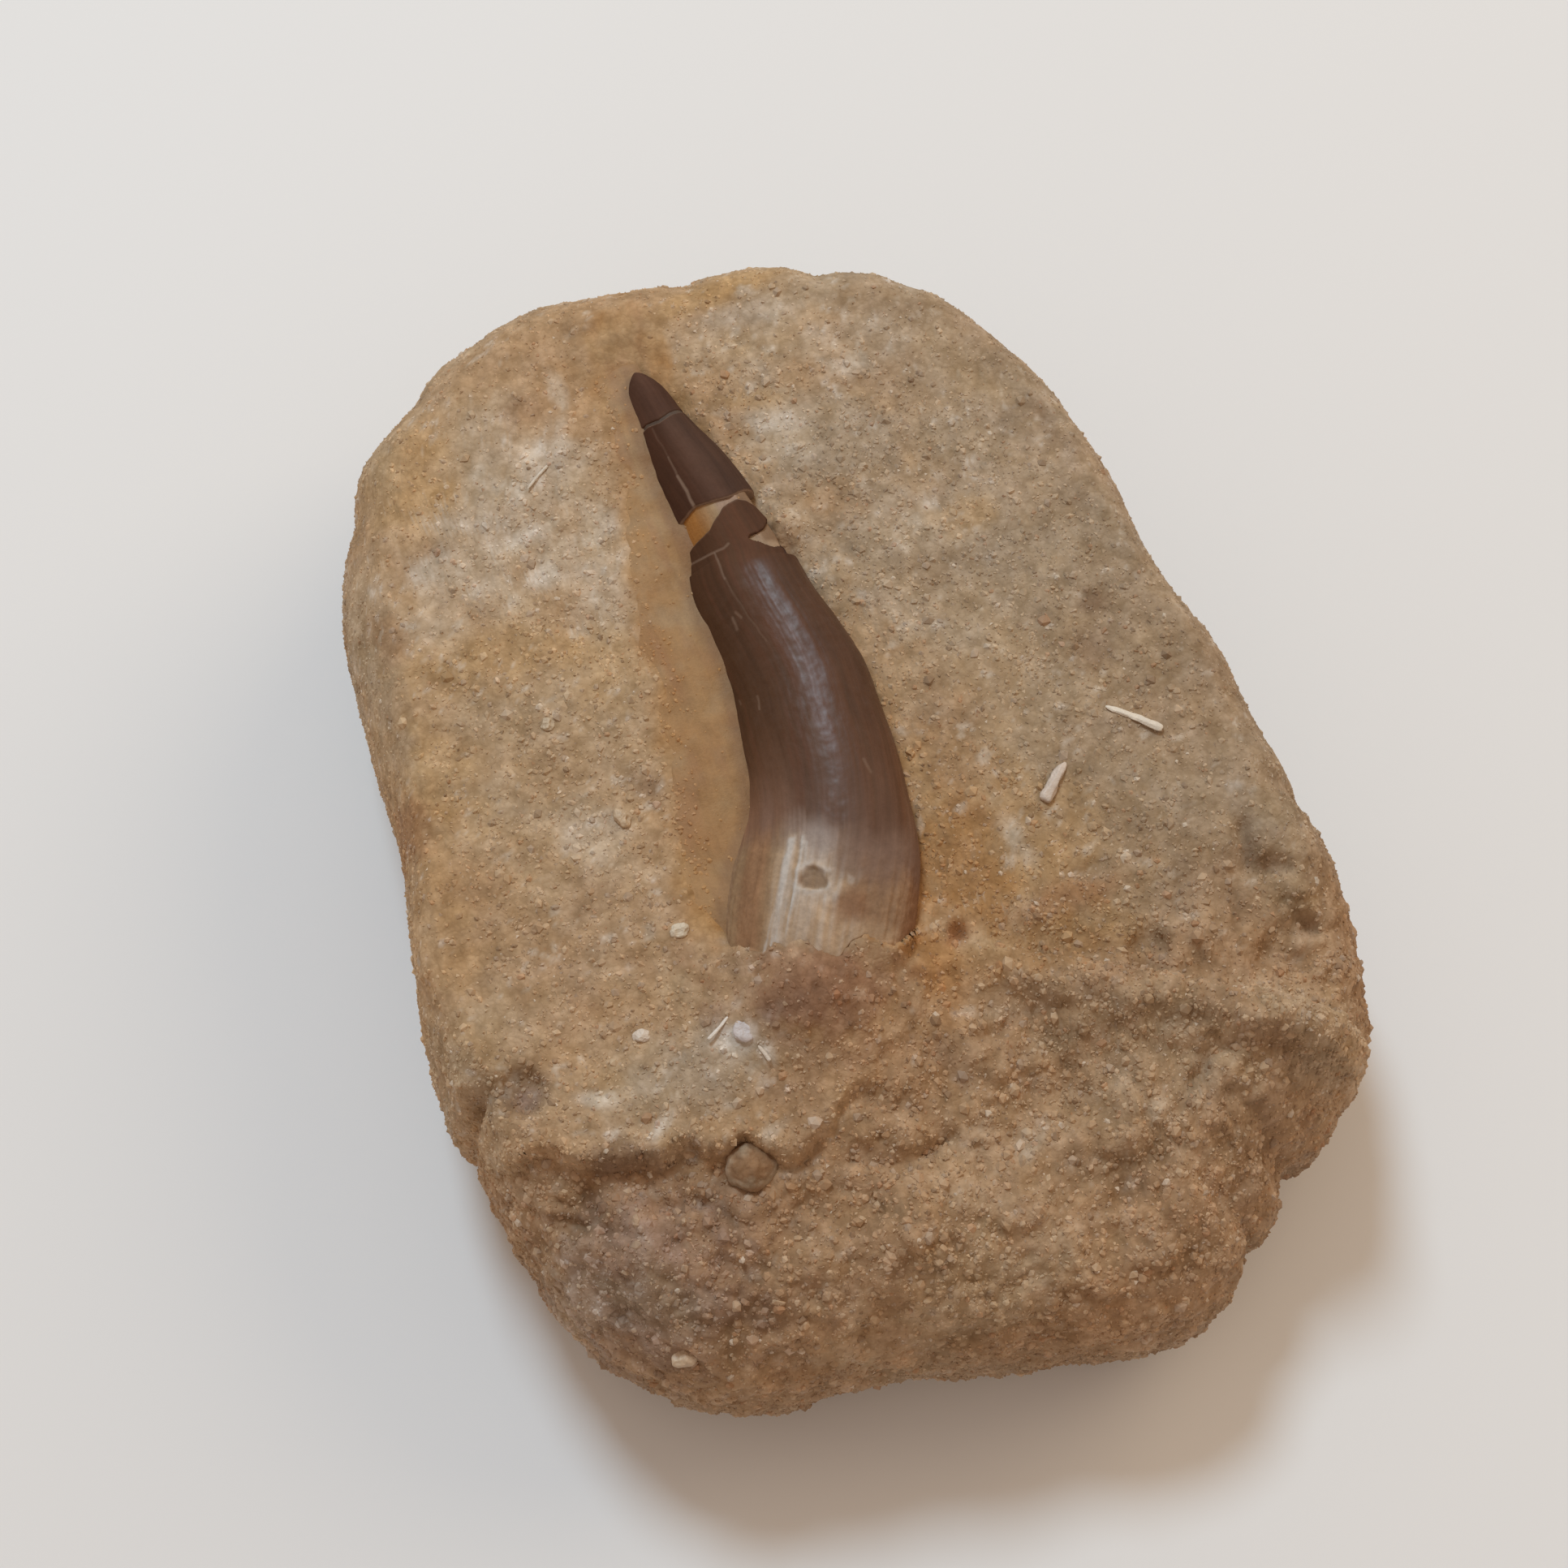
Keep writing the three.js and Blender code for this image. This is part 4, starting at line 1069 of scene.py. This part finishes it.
# the pale patch carries a purplish-grey painted sheen
PALE_PATCH = (84, -6.9, 1.1, 1.5)  # above it: degrees, y, half width, half length
DARK_LOBE = (112, -10.6, 1.4, 1.3)  # to its right
SCAR = [(19, 28.6), (17, 27.4), (14, 26), (10, 24.9)]  # along the left side of the upper crown
CHIP = [(4, 17.9), (3, 16), (5, 14.6)]  # on the left side below the break


def round_skin(degrees, half):
    """Distance round the skin from the top, to the right."""
    return (degrees - 90) * np.pi / 180 * half * GIRTH


def line_mask(length, degrees, half, line, width, wander):
    """1 on a line drawn on the tooth and 0 beyond its width, measured along and round the skin."""
    turns, ys = np.asarray(line, float).T
    drawn = length_at(ys)
    drawn = np.column_stack([round_skin(turns, half_width(drawn)), drawn])
    return 1 - smooth(line_distance(round_skin(degrees, half) + wander, length, drawn) / width - 0.35)


def enamel_tone(length, degrees, streak, wide_streak, blotch):
    """Colour of the enamel: darkest on the left, redder on the crest, smoky towards the root, with a brown worn
    margin low on both sides; the tip and the upper crown have their own browns."""
    tone = mix(ENAMEL["brown"], ENAMEL["dark"], smooth((88 - degrees) / 30 + 0.35 * wide_streak))
    reddish = smooth(0.4 + 0.7 * streak + 0.4 * wide_streak + (degrees - 90) / 120)
    tone = mix(tone, ENAMEL["red"], (0.4 - 0.15 * smooth((degrees - 100) / 25)) * reddish)
    low = smooth((length - length_at(5)) / 10)
    smoky = 0.45 * smooth((length - length_at(1)) / 8) * smooth(0.6 + wide_streak)
    tone = mix(tone, ENAMEL["smoke"], smoky)
    tone = mix(tone, ENAMEL["smoke"], 0.3 * low * smooth((75 - degrees) / 20))
    upper = mix(ENAMEL["upper"], ENAMEL["smoke"], 0.35 * smooth((degrees - 70) / 30))
    tone = mix(tone, upper, 0.75 * smooth((length_at(20.2) - length) / 1))
    tone = mix(tone, ENAMEL["tip"], smooth((length_at(29.2) - length) / 0.4))
    margin = np.maximum(smooth((42 - degrees) / 26), smooth((degrees - 136) / 26)) * low
    worn = (0.55 - 0.25 * (degrees > 90)) * margin * smooth(0.65 + 0.35 * streak + 0.4 * wide_streak)
    tone = mix(tone, ROOT["shade"], worn)
    level = 1 + 0.13 * streak + 0.1 * blotch + 0.8 * low * smooth((75 - degrees) / 20)
    level = level - (0.26 - 0.27 * low) * smooth((degrees - 100) / 25)
    return tone * level[:, None]


def root_tone(here, length, degrees, streak, blotch):
    """Colour of the root: red-brown on the left, tan streaked with white in the middle, grey-brown on the
    right, and tan again towards the broken end."""
    left = mix(ROOT["orange"], ROOT["red"], smooth(1.3 - np.abs(degrees - 44) / 14 + 0.15 * streak) * 0.7)
    left = mix(left, ROOT["taupe"], 0.7 * smooth((30 - degrees) / 10))
    lower = smooth((length - length_at(-10.6) + 0.8 * blotch) / 1.6)
    right = mix(ROOT["taupe"], ROOT["shade"], smooth((degrees - 140) / 25))
    right = mix(right, ROOT["tan"], 0.75 * lower * smooth((162 - degrees) / 24))
    middle = mix(ROOT["tan"], ROOT["white"], 0.4 * smooth(0.4 + streak) * (1 - 0.3 * lower))
    tone = mix(middle, left, smooth((66 - degrees + 6 * streak) / 11))
    on_right = smooth((degrees - 100 + 8 * blotch) / 12) * (1 - 0.6 * lower * smooth((125 - degrees) / 12))
    tone = mix(tone, right, on_right)
    level = 1 + 0.05 * streak + 0.14 * blotch + 0.07 * lower + 0.1 * fractal(here, 0.7, 2, seed=67)
    return tone * level[:, None]


def tooth_finish(length, angle):
    """Relief in millimetres, colour, rootness, dullness and lengthwise place of the tooth's skin: enamel with
    lengthwise streaks and fine ridges, then the fibrous root, then the marks on both."""
    half = half_width(length)
    degrees = np.degrees(seen_angle(angle, half))
    arc = (angle - np.pi / 2) * half * GIRTH
    here = tooth_point(length, angle)
    way = np.column_stack([arc, length * 0.06, here[:, 2] * 0.1])
    streak = noise(way, 0.55, 61) + 0.6 * noise(way, 0.25, 62)
    wide_streak = noise(way, 1.5, 63)
    thread = noise(level_plane(arc, length * 0.05), 0.36, 79)
    ridge = noise(level_plane(arc, length * 0.03), 0.3, 64)
    blotch = fractal(here, 2.6, 3, seed=65)
    wander = 0.07 * noise(here, 0.9, 66)

    def from_place(turn, y, across, lengthwise):
        return np.hypot(np.radians(degrees - turn) * half / across, (length - length_at(y)) / lengthwise)

    # enamel gives way to root along a border, later on the right than on the left
    border = np.interp(
        degrees, [0, 35, 51, 59, 75, 100, 119, 160, 180], [-6.2, -6.5, -6.2, -6, -6.4, -7.5, -7.6, -7, -6.6]
    )
    ragged = (0.6 - 0.35 * smooth((degrees - 80) / 20)) * streak + 0.8 * blotch
    blend = 3.6 + 1.6 * smooth((degrees - 70) / 30)
    root = smooth((length - length_at(border) + ragged) / blend + 0.5)
    tone = mix(
        enamel_tone(length, degrees, streak, wide_streak, blotch),
        root_tone(here, length, degrees, streak, blotch), root,
    )
    # painted sheen: a purplish-grey band where enamel gives way to root, from the crest to the right
    tone = mix(tone, ROOT["violet_sheen"], 0.45 * 4 * root * (1 - root) * smooth((degrees - 50) / 20))
    # pale patch above the pit: the root's pale colour with a purplish-grey painted sheen
    patch = smooth(1.4 - from_place(*PALE_PATCH) + 0.5 * blotch)
    tone = mix(tone, mix(ROOT["violet_sheen"], ROOT["white"], 0.45), 0.6 * patch)
    relief = 0.009 * ridge * (1 - root) + 0.03 * blotch + 0.008 * streak
    relief = relief + 0.023 * fractal(here, 0.8, 2, seed=78)
    relief = relief + root * (0.05 * streak + 0.08 * fractal(here, 0.9, 3, seed=68)) - 0.1 * root

    for line, width, strength in WHITE_STREAKS:
        mark = line_mask(length, degrees, half, line, width, 1.6 * wander) * strength
        mark = mark * smooth(0.62 + 1.5 * thread)
        tone = mix(tone, ROOT["white"], mark)
        relief = relief + 0.07 * mark
    for line, width, strength in CRACKS:
        mark = line_mask(length, degrees, half, line, width, wander) * strength
        tone = mix(tone, CRACK, 0.75 * mark)
        relief = relief - 0.04 * mark

    # small hollow in the root, with a pale chipped rim and painted shade down its left side
    pit_degrees, pit_y, pit_radius = PIT
    from_pit = from_place(pit_degrees, pit_y, pit_radius / GIRTH, pit_radius / 1.25)
    from_pit = from_pit + 0.42 * fractal(here, 1, 2, seed=69) + 0.02
    hollow = smooth((1.05 - from_pit) / 0.5 + 0.5)
    rim = np.exp(-((from_pit - 1.4) / 0.32) ** 2)
    tone = mix(tone, ROOT["white"], 0.5 * rim * smooth(0.5 + 2 * fractal(here, 0.9, 2, seed=70)))
    tone = mix(tone, ROOT["pit"], 0.85 * hollow)
    # painted shade on the left side of the hollow
    tone = mix(tone, ROOT["shade"], 0.7 * hollow * smooth((pit_degrees - 5 - degrees) / 4))
    relief = relief - 0.27 * hollow + 0.04 * rim

    # a darker lobe beside it, and rock clinging to the broken end
    lobe = smooth(1.3 - from_place(*DARK_LOBE) + 0.4 * blotch)
    tone = mix(tone, ROOT["shade"], 0.72 * lobe)
    clinging = smooth((past_root(length, degrees) + 0.1 + 0.9 * fractal(here, 1.5, 2, seed=77)) / 0.4)
    tone = mix(tone, STONE["brown"], 0.6 * clinging)
    relief = relief + 0.12 * clinging

    # a scar and a chip on the left side, and the wedge-shaped notch in the crown's upper end
    scar = line_mask(length, degrees, half, SCAR, 0.45, 3 * wander)
    chip = line_mask(length, degrees, half, CHIP, 0.4, 3 * wander)
    tone = mix(tone, ENAMEL["smoke"] * 1.5, 0.75 * scar)
    tone = mix(tone, ENAMEL["dark"] * 0.6, 0.7 * chip)
    notch_degrees, notch_y, notch_half = np.asarray(NOTCH, float).T
    middle_line = length_at(np.interp(degrees, notch_degrees, notch_y))
    open_by = np.interp(degrees, notch_degrees, notch_half) * (degrees < NOTCH_TO)
    notch = smooth((open_by - np.abs(length - middle_line) + 0.6 * wander) / 0.1 + 0.5) * (degrees > NOTCH_FROM)
    relief = relief - 0.16 * scar - 0.35 * chip - 0.8 * notch
    matt = smooth((length_at(13.6) - length) / 2.6) + 0.85 * root + 0.5 * smooth((length - length_at(3)) / 8)
    return relief, np.clip(tone, 0.004, 0.9), root, np.clip(matt, 0, 1), level_plane(arc, length)


def tooth_piece(name, start, end, rows, material, wall, pale):
    """One piece of the tooth: its skin between two broken edges, worked out on a grid of length and angle
    with three quarters of the angles on the exposed side, and a short wall into the break at each end. pale
    is how pale its broken edges are."""
    upper, lower = 196, 54
    angle = np.concatenate([
        np.linspace(0, np.pi, upper, endpoint=False), np.linspace(np.pi, 2 * np.pi, lower, endpoint=False),
    ])
    first, last = start(angle), end(angle)
    share = np.linspace(0, 1, rows)[:, None]
    length = (first + (last - first) * share).ravel()
    whole = np.tile(angle, rows)
    relief, tone, root, matt, way = tooth_finish(length, whole)
    from_end = np.minimum(length - np.tile(first, rows), np.tile(last, rows) - length)
    rounded = 0.14 * (1 - smooth(from_end / 0.22)) ** 2
    tone = mix(tone, CRACK * 1.15, pale * (1 - smooth((from_end - 0.04) / 0.12)))
    rings = tooth_point(length, whole, rounded - relief).reshape(rows, -1, 3)
    inner_start = tooth_point(first + 0.05, angle, wall)[None]
    inner_end = tooth_point(last - 0.05, angle, wall)[None]
    rings = np.concatenate([inner_start, rings, inner_end])
    points, faces = skin(rings)

    def spread(values, width=1):
        grid = values.reshape(rows, len(angle), -1)
        grid = np.concatenate([grid[:1], grid, grid[-1:]]).reshape(-1, grid.shape[-1])
        grid = np.concatenate([grid[:1], grid, grid[-1:]])
        return grid[:, 0] if width == 1 else grid

    return make_piece(name, points, faces, material, "tooth", [name],
                      tone=spread(tone, 3), root=spread(root), matt=spread(matt), lengthwise=spread(way, 3))


def make_tooth(material):
    """The tip, the upper crown, and the crown with the root, a hair's breadth apart at the tip's crack."""
    gap = 0.05

    def edge(table, amount, seed, shift=0.0):
        half = half_width(length_at(np.mean([y for _, y in table])))
        return lambda angle: ragged_edge(table, seen_angle(angle, half), amount, seed) + shift

    for name, start, end, rows, wall, pale in (
        ("tooth_tip", np.zeros_like, edge(TIP_BREAK, 0.06, 71, -gap), 110, 0.5, 0),
        ("tooth_upper_crown", edge(TIP_BREAK, 0.06, 71, gap), edge(UPPER_BREAK, 0.07, 72), 190, 1.1, 0.8),
        ("tooth_crown_and_root", edge(CROWN_BREAK, 0.07, 73), edge(ROOT_BREAK, ROOT_RAGGED, 74), 395, 1.1, 0.3),
    ):
        tooth_piece(name, start, end, rows, material, wall, pale)


# ---------- putty ----------

def ground_height(x, y):
    """Height of the smooth rock at places in plan."""
    angle = np.arctan2(y, x)
    width = around(SHOULDER_WIDTHS, angle)
    outward = np.clip((np.hypot(x, y) - around(RIM_RADII, angle) + width) / width, 0, 1)
    return RIM_HEIGHT + (face_height(x, y) - RIM_HEIGHT) * np.sqrt(1 - outward ** 2)


def putty_band():
    """Putty beside the tooth: a strip from its left edge, which dips under the sand, to a line under the
    tooth. Its top follows the rock, stands a little proud and rises towards the tooth in a fillet."""
    rows, columns, depth = 330, 64, 2.2
    left = resample(PUTTY_LEFT, rows)
    right = resample(PUTTY_RIGHT, rows)
    left[:, 0] += 0.55 * fractal(level_plane(*left.T), 3, 3, seed=80)
    across = np.linspace(-0.06, 1, columns)
    plan = left[:, None, :] + (right - left)[:, None, :] * across[None, :, None]
    x, y = plan.reshape(-1, 2).T
    flat = level_plane(x, y)
    t = np.tile(across, rows)
    row = np.repeat(np.arange(rows), columns)
    near_end = np.minimum(row / 20, (rows - 1 - row) / 45)
    free_side = smooth((y - 31) / 3)
    rise = PUTTY_PROUD * smooth(t / 0.4) * (1 - free_side) - 0.7 * (1 - smooth(near_end))
    rise = rise - 0.4 * (1 - smooth(t / 0.14 + 0.5)) - 0.7 * smooth((y - 34.6) / 1.6)
    rise = rise - 0.9 * free_side * (1 - smooth((1.02 - t) / 0.35))
    fillet = 0.7 * np.clip(t, 0, 1) ** 2 * (1 - free_side)
    drag = 0.08 * noise(flat * [1, 0.25, 1], 0.8, 81) + 0.13 * fractal(flat, 2.2, 3, seed=82)
    top = ground_height(x, y) + rise + fillet + drag
    _, side, half = on_tooth(x, y)
    top = np.where(np.abs(side) < half - 0.3, np.minimum(top, AXIS_HEIGHT + 1.2), top)
    upper = np.column_stack([x, y, top]).reshape(rows, columns, 3)
    lower = upper[:, ::-1].copy()
    lower[:, :, 2] -= depth
    rings = np.concatenate([upper, lower], axis=1)
    points, faces = skin(rings)
    tone = putty_tone(points)
    _, side, half = on_tooth(*points[:, :2].T)
    # painted shade: the putty darkens towards umber from 0.8 mm left of the tooth's left edge and under it
    return points, faces, mix(tone, STONE["umber"], 0.35 * smooth((side + half + 0.8) / 0.8))


def tooth_shaped_filler(first_y, last_y, rows, inset, tint):
    """Filler shaped like a stretch of the tooth, drawn in by inset."""
    angle = np.linspace(0, 2 * np.pi, 150, endpoint=False)
    length = np.repeat(np.linspace(length_at(first_y), length_at(last_y), rows), len(angle))
    whole = np.tile(angle, rows)
    place = tooth_point(length, whole)
    drawn_in = inset(length, whole) + 0.05 * fractal(place, 1.4, 3, seed=86)
    points, faces = skin(tooth_point(length, whole, drawn_in).reshape(rows, -1, 3))
    tone = tint(length, whole, place)
    return points, faces, np.concatenate([tone[:1], tone, tone[-1:]])


def saddle_tint(length, angle, place):
    """Ochre on the left, beige-grey over the crest, a pale wedge in the notch, and on the right the rock's
    brown darkened to half as painted shade.
    """
    degrees = np.degrees(seen_angle(angle, 3.5))
    tone = mix(PUTTY["orange"], PUTTY["beige"] * 0.9, smooth((degrees - 50) / 42))
    beside_knob = smooth((degrees - 84) / 10) * smooth((length_at(18.8) - length) / 0.6)
    in_notch = smooth((degrees - 106) / 8) * smooth((length - length_at(18.2)) / 0.5)
    tone = mix(mix(tone, PUTTY["rose"], 0.8 * beside_knob), PUTTY["sand"], in_notch)
    # painted shade: right of the knob and beyond the strip the saddle takes the rock's brown at half
    above_strip = np.maximum(smooth((length_at(16.7) - length) / 0.25), smooth((degrees - 148) / 8))
    tone = mix(tone, STONE["brown"] * 0.5, 0.9 * smooth((degrees - 118) / 6) * above_strip)
    return tone * (1 + 0.1 * fractal(place, 1.2, 3, seed=87))[:, None]


def make_putty(material):
    """All the putty as one piece: the band, the saddle in the break and the glue in the tip's crack."""
    def saddle_inset(length, angle):
        degrees = np.degrees(angle)
        below_break = 0.25 * smooth((length - length_at(15.6)) / 1.2)
        return 0.3 + below_break - 0.13 * smooth((degrees - 92) / 10) + 0.8 * smooth((degrees - 120) / 20)

    parts = [
        putty_band(),
        tooth_shaped_filler(22.4, 13.6, 90, saddle_inset, saddle_tint),
        tooth_shaped_filler(
            30.1, 28.6, 30, lambda length, angle: np.full(len(length), 0.09),
            lambda length, angle, place: np.tile(PUTTY["glue"], (len(length), 1))),
    ]
    points, faces = joined([part[:2] for part in parts])
    tone = np.clip(np.concatenate([part[2] for part in parts]), 0.01, 0.9)
    make_piece("filler_putty", points, faces, material, "putty", ["filler_putty"], tone=tone)
    return points, faces


# ---------- bone splinters, chips and the pebble ----------

def centre_and_size(node):
    """Middle and size of a node's box, in millimetres."""
    low, high = (np.array(corner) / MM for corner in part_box(node))
    return (low + high) / 2, high - low


def splinter(start, end, height, widths, seed, bow):
    """A sliver of bone from start to end, widths[0] wide at its start and widths[1] at its end: a flat
    six-sided section with a fractured outline, carried along a slightly bowed line."""
    rows, sides = 48, 24
    t = np.linspace(0, 1, rows)
    way = np.array(end, float) - start
    reach = np.linalg.norm(way)
    way /= reach
    across = np.array([-way[1], way[0]])
    centre = np.asarray(start)[None, :] + np.outer(t * reach, way) + np.outer(bow * np.sin(np.pi * t), across)
    share = np.interp(t, [0, 0.05, 0.15, 0.9, 0.97, 1], [0.3, 0.7, 1, 1, 0.85, 0.5])
    half = share * np.interp(t, [0, 1], widths) / 2
    angle = np.linspace(0, 2 * np.pi, sides, endpoint=False)
    facet = math.cos(math.pi / 6) / np.cos((angle + 0.3) % (math.pi / 3) - math.pi / 6)
    grid_t, grid_a = np.repeat(t, sides), np.tile(angle, rows)
    unrolled = np.column_stack([grid_t * reach, np.cos(grid_a), np.sin(grid_a)])
    rough = 1 + 0.3 * fractal(unrolled, 0.9, 3, seed=seed)
    reach_out = np.repeat(half, sides) * np.tile(facet, rows) * rough
    plan = np.repeat(centre, sides, axis=0) + across * (reach_out * np.cos(grid_a))[:, None]
    points = np.column_stack([plan, height + 0.6 * reach_out * np.sin(grid_a)])
    return skin(points.reshape(rows, sides, 3))


def knobbly(centre, size, turn, seed, sharp):
    """A broken lump: a ball stretched to size, pushed in by flat facets and roughened."""
    rows, sides = 40, 56
    polar = np.linspace(0.04, np.pi - 0.04, rows)
    angle = np.linspace(0, 2 * np.pi, sides, endpoint=False)
    p, a = np.meshgrid(polar, angle, indexing="ij")
    ball = np.stack([np.sin(p) * np.cos(a), np.sin(p) * np.sin(a), np.cos(p)], axis=-1).reshape(-1, 3)
    random = np.random.default_rng(seed)
    facets = random.normal(size=(9, 3))
    facets /= np.linalg.norm(facets, axis=1, keepdims=True)
    cut = (ball @ facets.T / (0.78 + 0.2 * random.random(9))).max(axis=1)
    reach = 1 / np.maximum(cut, 1) ** (sharp * 2) * (1 + 0.07 * fractal(ball, 0.6, 3, seed=seed))
    x, y, z = (ball * reach[:, None] * np.asarray(size) / 2).T
    c, s = math.cos(turn), math.sin(turn)
    turned = np.column_stack([x * c - y * s, x * s + y * c, z])
    return skin((turned + centre).reshape(rows, sides, 3))


def facing_out(points, faces):
    """Turns a closed skin the right way round if it is inside out."""
    volume = 0
    for group in faces:
        corners = points[group]
        for k in range(1, group.shape[1] - 1):
            volume += np.einsum("ij,ij->i", corners[:, 0], np.cross(corners[:, k], corners[:, k + 1])).sum()
    return points, faces if volume > 0 else [group[:, ::-1] for group in faces]


def roughened(points, faces, depth, size, seed):
    """A closed skin facing outwards, its points moved along their normals by sharp-ridged noise."""
    points, faces = facing_out(points, faces)
    return points + normals_of(points, faces) * (depth * crags(points, size, 3, seed=seed))[:, None], faces


def clouded(tint, points, size, seed):
    """A tint for every point, cloudy by a seventh either way."""
    return linear(tint) * (1 + 0.14 * fractal(points, size, 3, seed=seed))[:, None]


def make_bones(bone, pebble):
    """Each splinter runs between its listed ends, at the height of its node's middle; each chip fills its
    node's box. The two slivers, too small for a node, lie on the rock."""
    for name, start, end, widths, bow, lift, seed, tint in (
        ("bone_splinter_long", (20.3, -2.8), (23.5, -5.8), (0.42, 0.74), 0.05, 0.06, 18, "dacdbb"),
        ("bone_splinter_short", (16.1, -5.7), (13.6, -7.9), (0.62, 1.15), -0.05, 0.06, 19, "c9b7a7"),
        ("bone_splinter_needle", (-12.8, -15.3), (-14.7, -16.4), (0.22, 0.3), 0.05, 0.15, 20, "d9cec2"),
        ("bone_sliver_upper", (-13.2, 27.6), (-11.2, 28.9), (0.2, 0.28), 0.05, 0.2, 17, "cdbda9"),
        ("bone_sliver_lower", (-11.6, -18), (-11.2, -19.3), (0.24, 0.34), 0.03, 0.2, 17, "cabaa8"),
    ):
        on_rock = "sliver" in name
        middle = (np.array(start) + end) / 2
        height = lift + (ground_height(*middle[:, None])[0] if on_rock else centre_and_size(name)[0][2])
        points, faces = facing_out(*splinter(start, end, height, widths, seed, bow))
        tone = clouded(tint, points, 0.8, 91)
        make_piece(name, points, faces, bone, "bone", () if on_rock else [name], tone=tone)
    for name, turn, seed, thickness, tint in (
        ("bone_flake", 24, 130, 0.55, "c3b8b4"), ("bone_chip_root", 4, 34, 0.8, "cdbda6"),
        ("bone_chip_lower", -6, 45, 0.8, "cfbfae"), ("bone_chip_left", 8, 54, 0.8, "bfaa8e"),
        ("bone_chip_middle", 14, 86, 0.8, "c0a789"), ("bone_chip_bottom", -3, 31, 0.8, "c4ab8f"),
    ):
        centre, size = centre_and_size(name)
        lump = knobbly(centre, size * [0.95, 0.95, thickness], math.radians(turn), seed, 0.9)
        points, faces = roughened(*lump, 0.06, 0.7, 95)
        tone = np.clip(clouded(tint, points, 0.7, 92), 0, 0.95)
        make_piece(name, points, faces, bone, "bone", [name], tone=tone)
    centre, size = centre_and_size("phosphate_pebble")
    points, faces = roughened(*knobbly(centre - [0, 0, 0.42], size * 1.06, 0.5, 11, 0.3), 0.13, 1.1, 94)
    tone = mix(STONE["brown"] * 0.75, STONE["grey"], smooth(0.35 + 1.2 * fractal(points, 1.4, 3, seed=93)))
    make_piece("phosphate_pebble", points, faces, pebble, "pebble", ["phosphate_pebble"], tone=tone)


# ---------- camera, light and floor ----------

def direction(turn, height):
    """Unit vector towards something at a turn from the near side and a height above the horizon, in degrees."""
    turn, height = math.radians(turn), math.radians(height)
    return Vector((math.sin(turn) * math.cos(height), -math.cos(turn) * math.cos(height), math.sin(height)))


def look(thing, place, at):
    """Puts a camera or light at a place, turned towards another."""
    thing.location = place
    thing.rotation_euler = (at - place).to_track_quat("-Z", "Y").to_euler()
    bpy.context.scene.collection.objects.link(thing)


def make_light(name, turn, height, distance, size, watts, color, target, mirrored=True):
    """A soft oval light, seen in glossy places only if mirrored."""
    data = bpy.data.lights.new(name, "AREA")
    data.shape = "ELLIPSE"
    data.size, data.size_y = size
    data.energy = watts
    data.color = color
    light = bpy.data.objects.new(name, data)
    light.visible_glossy = mirrored
    look(light, target + direction(turn, height) * distance, target)


def make_stage():
    target = Vector(TARGET) * MM
    lens = bpy.data.cameras.new("camera")
    lens.lens = LENS
    lens.sensor_width = 36
    lens.clip_start = 0.01
    camera = bpy.data.objects.new("camera", lens)
    look(camera, target + direction(CAMERA_TURN, CAMERA_HEIGHT) * DISTANCE * MM, target)
    bpy.context.scene.camera = camera

    make_light("window", 182, 54, 1.3, (0.36, 0.32), 9.6, (0.64, 0.84, 1.0), target)
    make_light("room_lamp", 108, 36, 1.1, (0.9, 0.7), 3.1, (1.0, 0.79, 0.53), target, mirrored=False)
    world = bpy.data.worlds.new("room")
    world.use_nodes = True
    background = world.node_tree.nodes["Background"]
    background.inputs["Color"].default_value = (1.0, 0.81, 0.67, 1)
    background.inputs["Strength"].default_value = 0.48
    bpy.context.scene.world = world

    half = 1.5
    corners = [(-half, -half, 0), (half, -half, 0), (half, half, 0), (-half, half, 0)]
    mesh = bpy.data.meshes.new("table")
    mesh.from_pydata(corners, [], [(0, 1, 2, 3)])
    mesh.materials.append(floor_material())
    table = bpy.data.objects.new("table", mesh)
    bpy.context.scene.collection.objects.link(table)
    bpy.context.scene.view_settings.view_transform = "Standard"


# ---------- the whole block ----------

make_stage()
ground, ground_faces, ground_relief = slab()
x, y, z = ground.T
rock = rock_material()
# the relief, in half millimetres, paints light on the rock's knobs and shade in its gaps
make_piece("matrix_stone", ground, ground_faces, rock, "matrix", ["matrix_stone"],
           tone=stone_tone(ground, ground_relief / 0.5))
sand = grain_material("sand_grain", 0.8, 0.3)
make_sand(ground, ground_faces, sand)
make_tooth(tooth_material())
make_stuck_sand(make_putty(putty_material()), sand)
make_bones(bone_material(), rock)
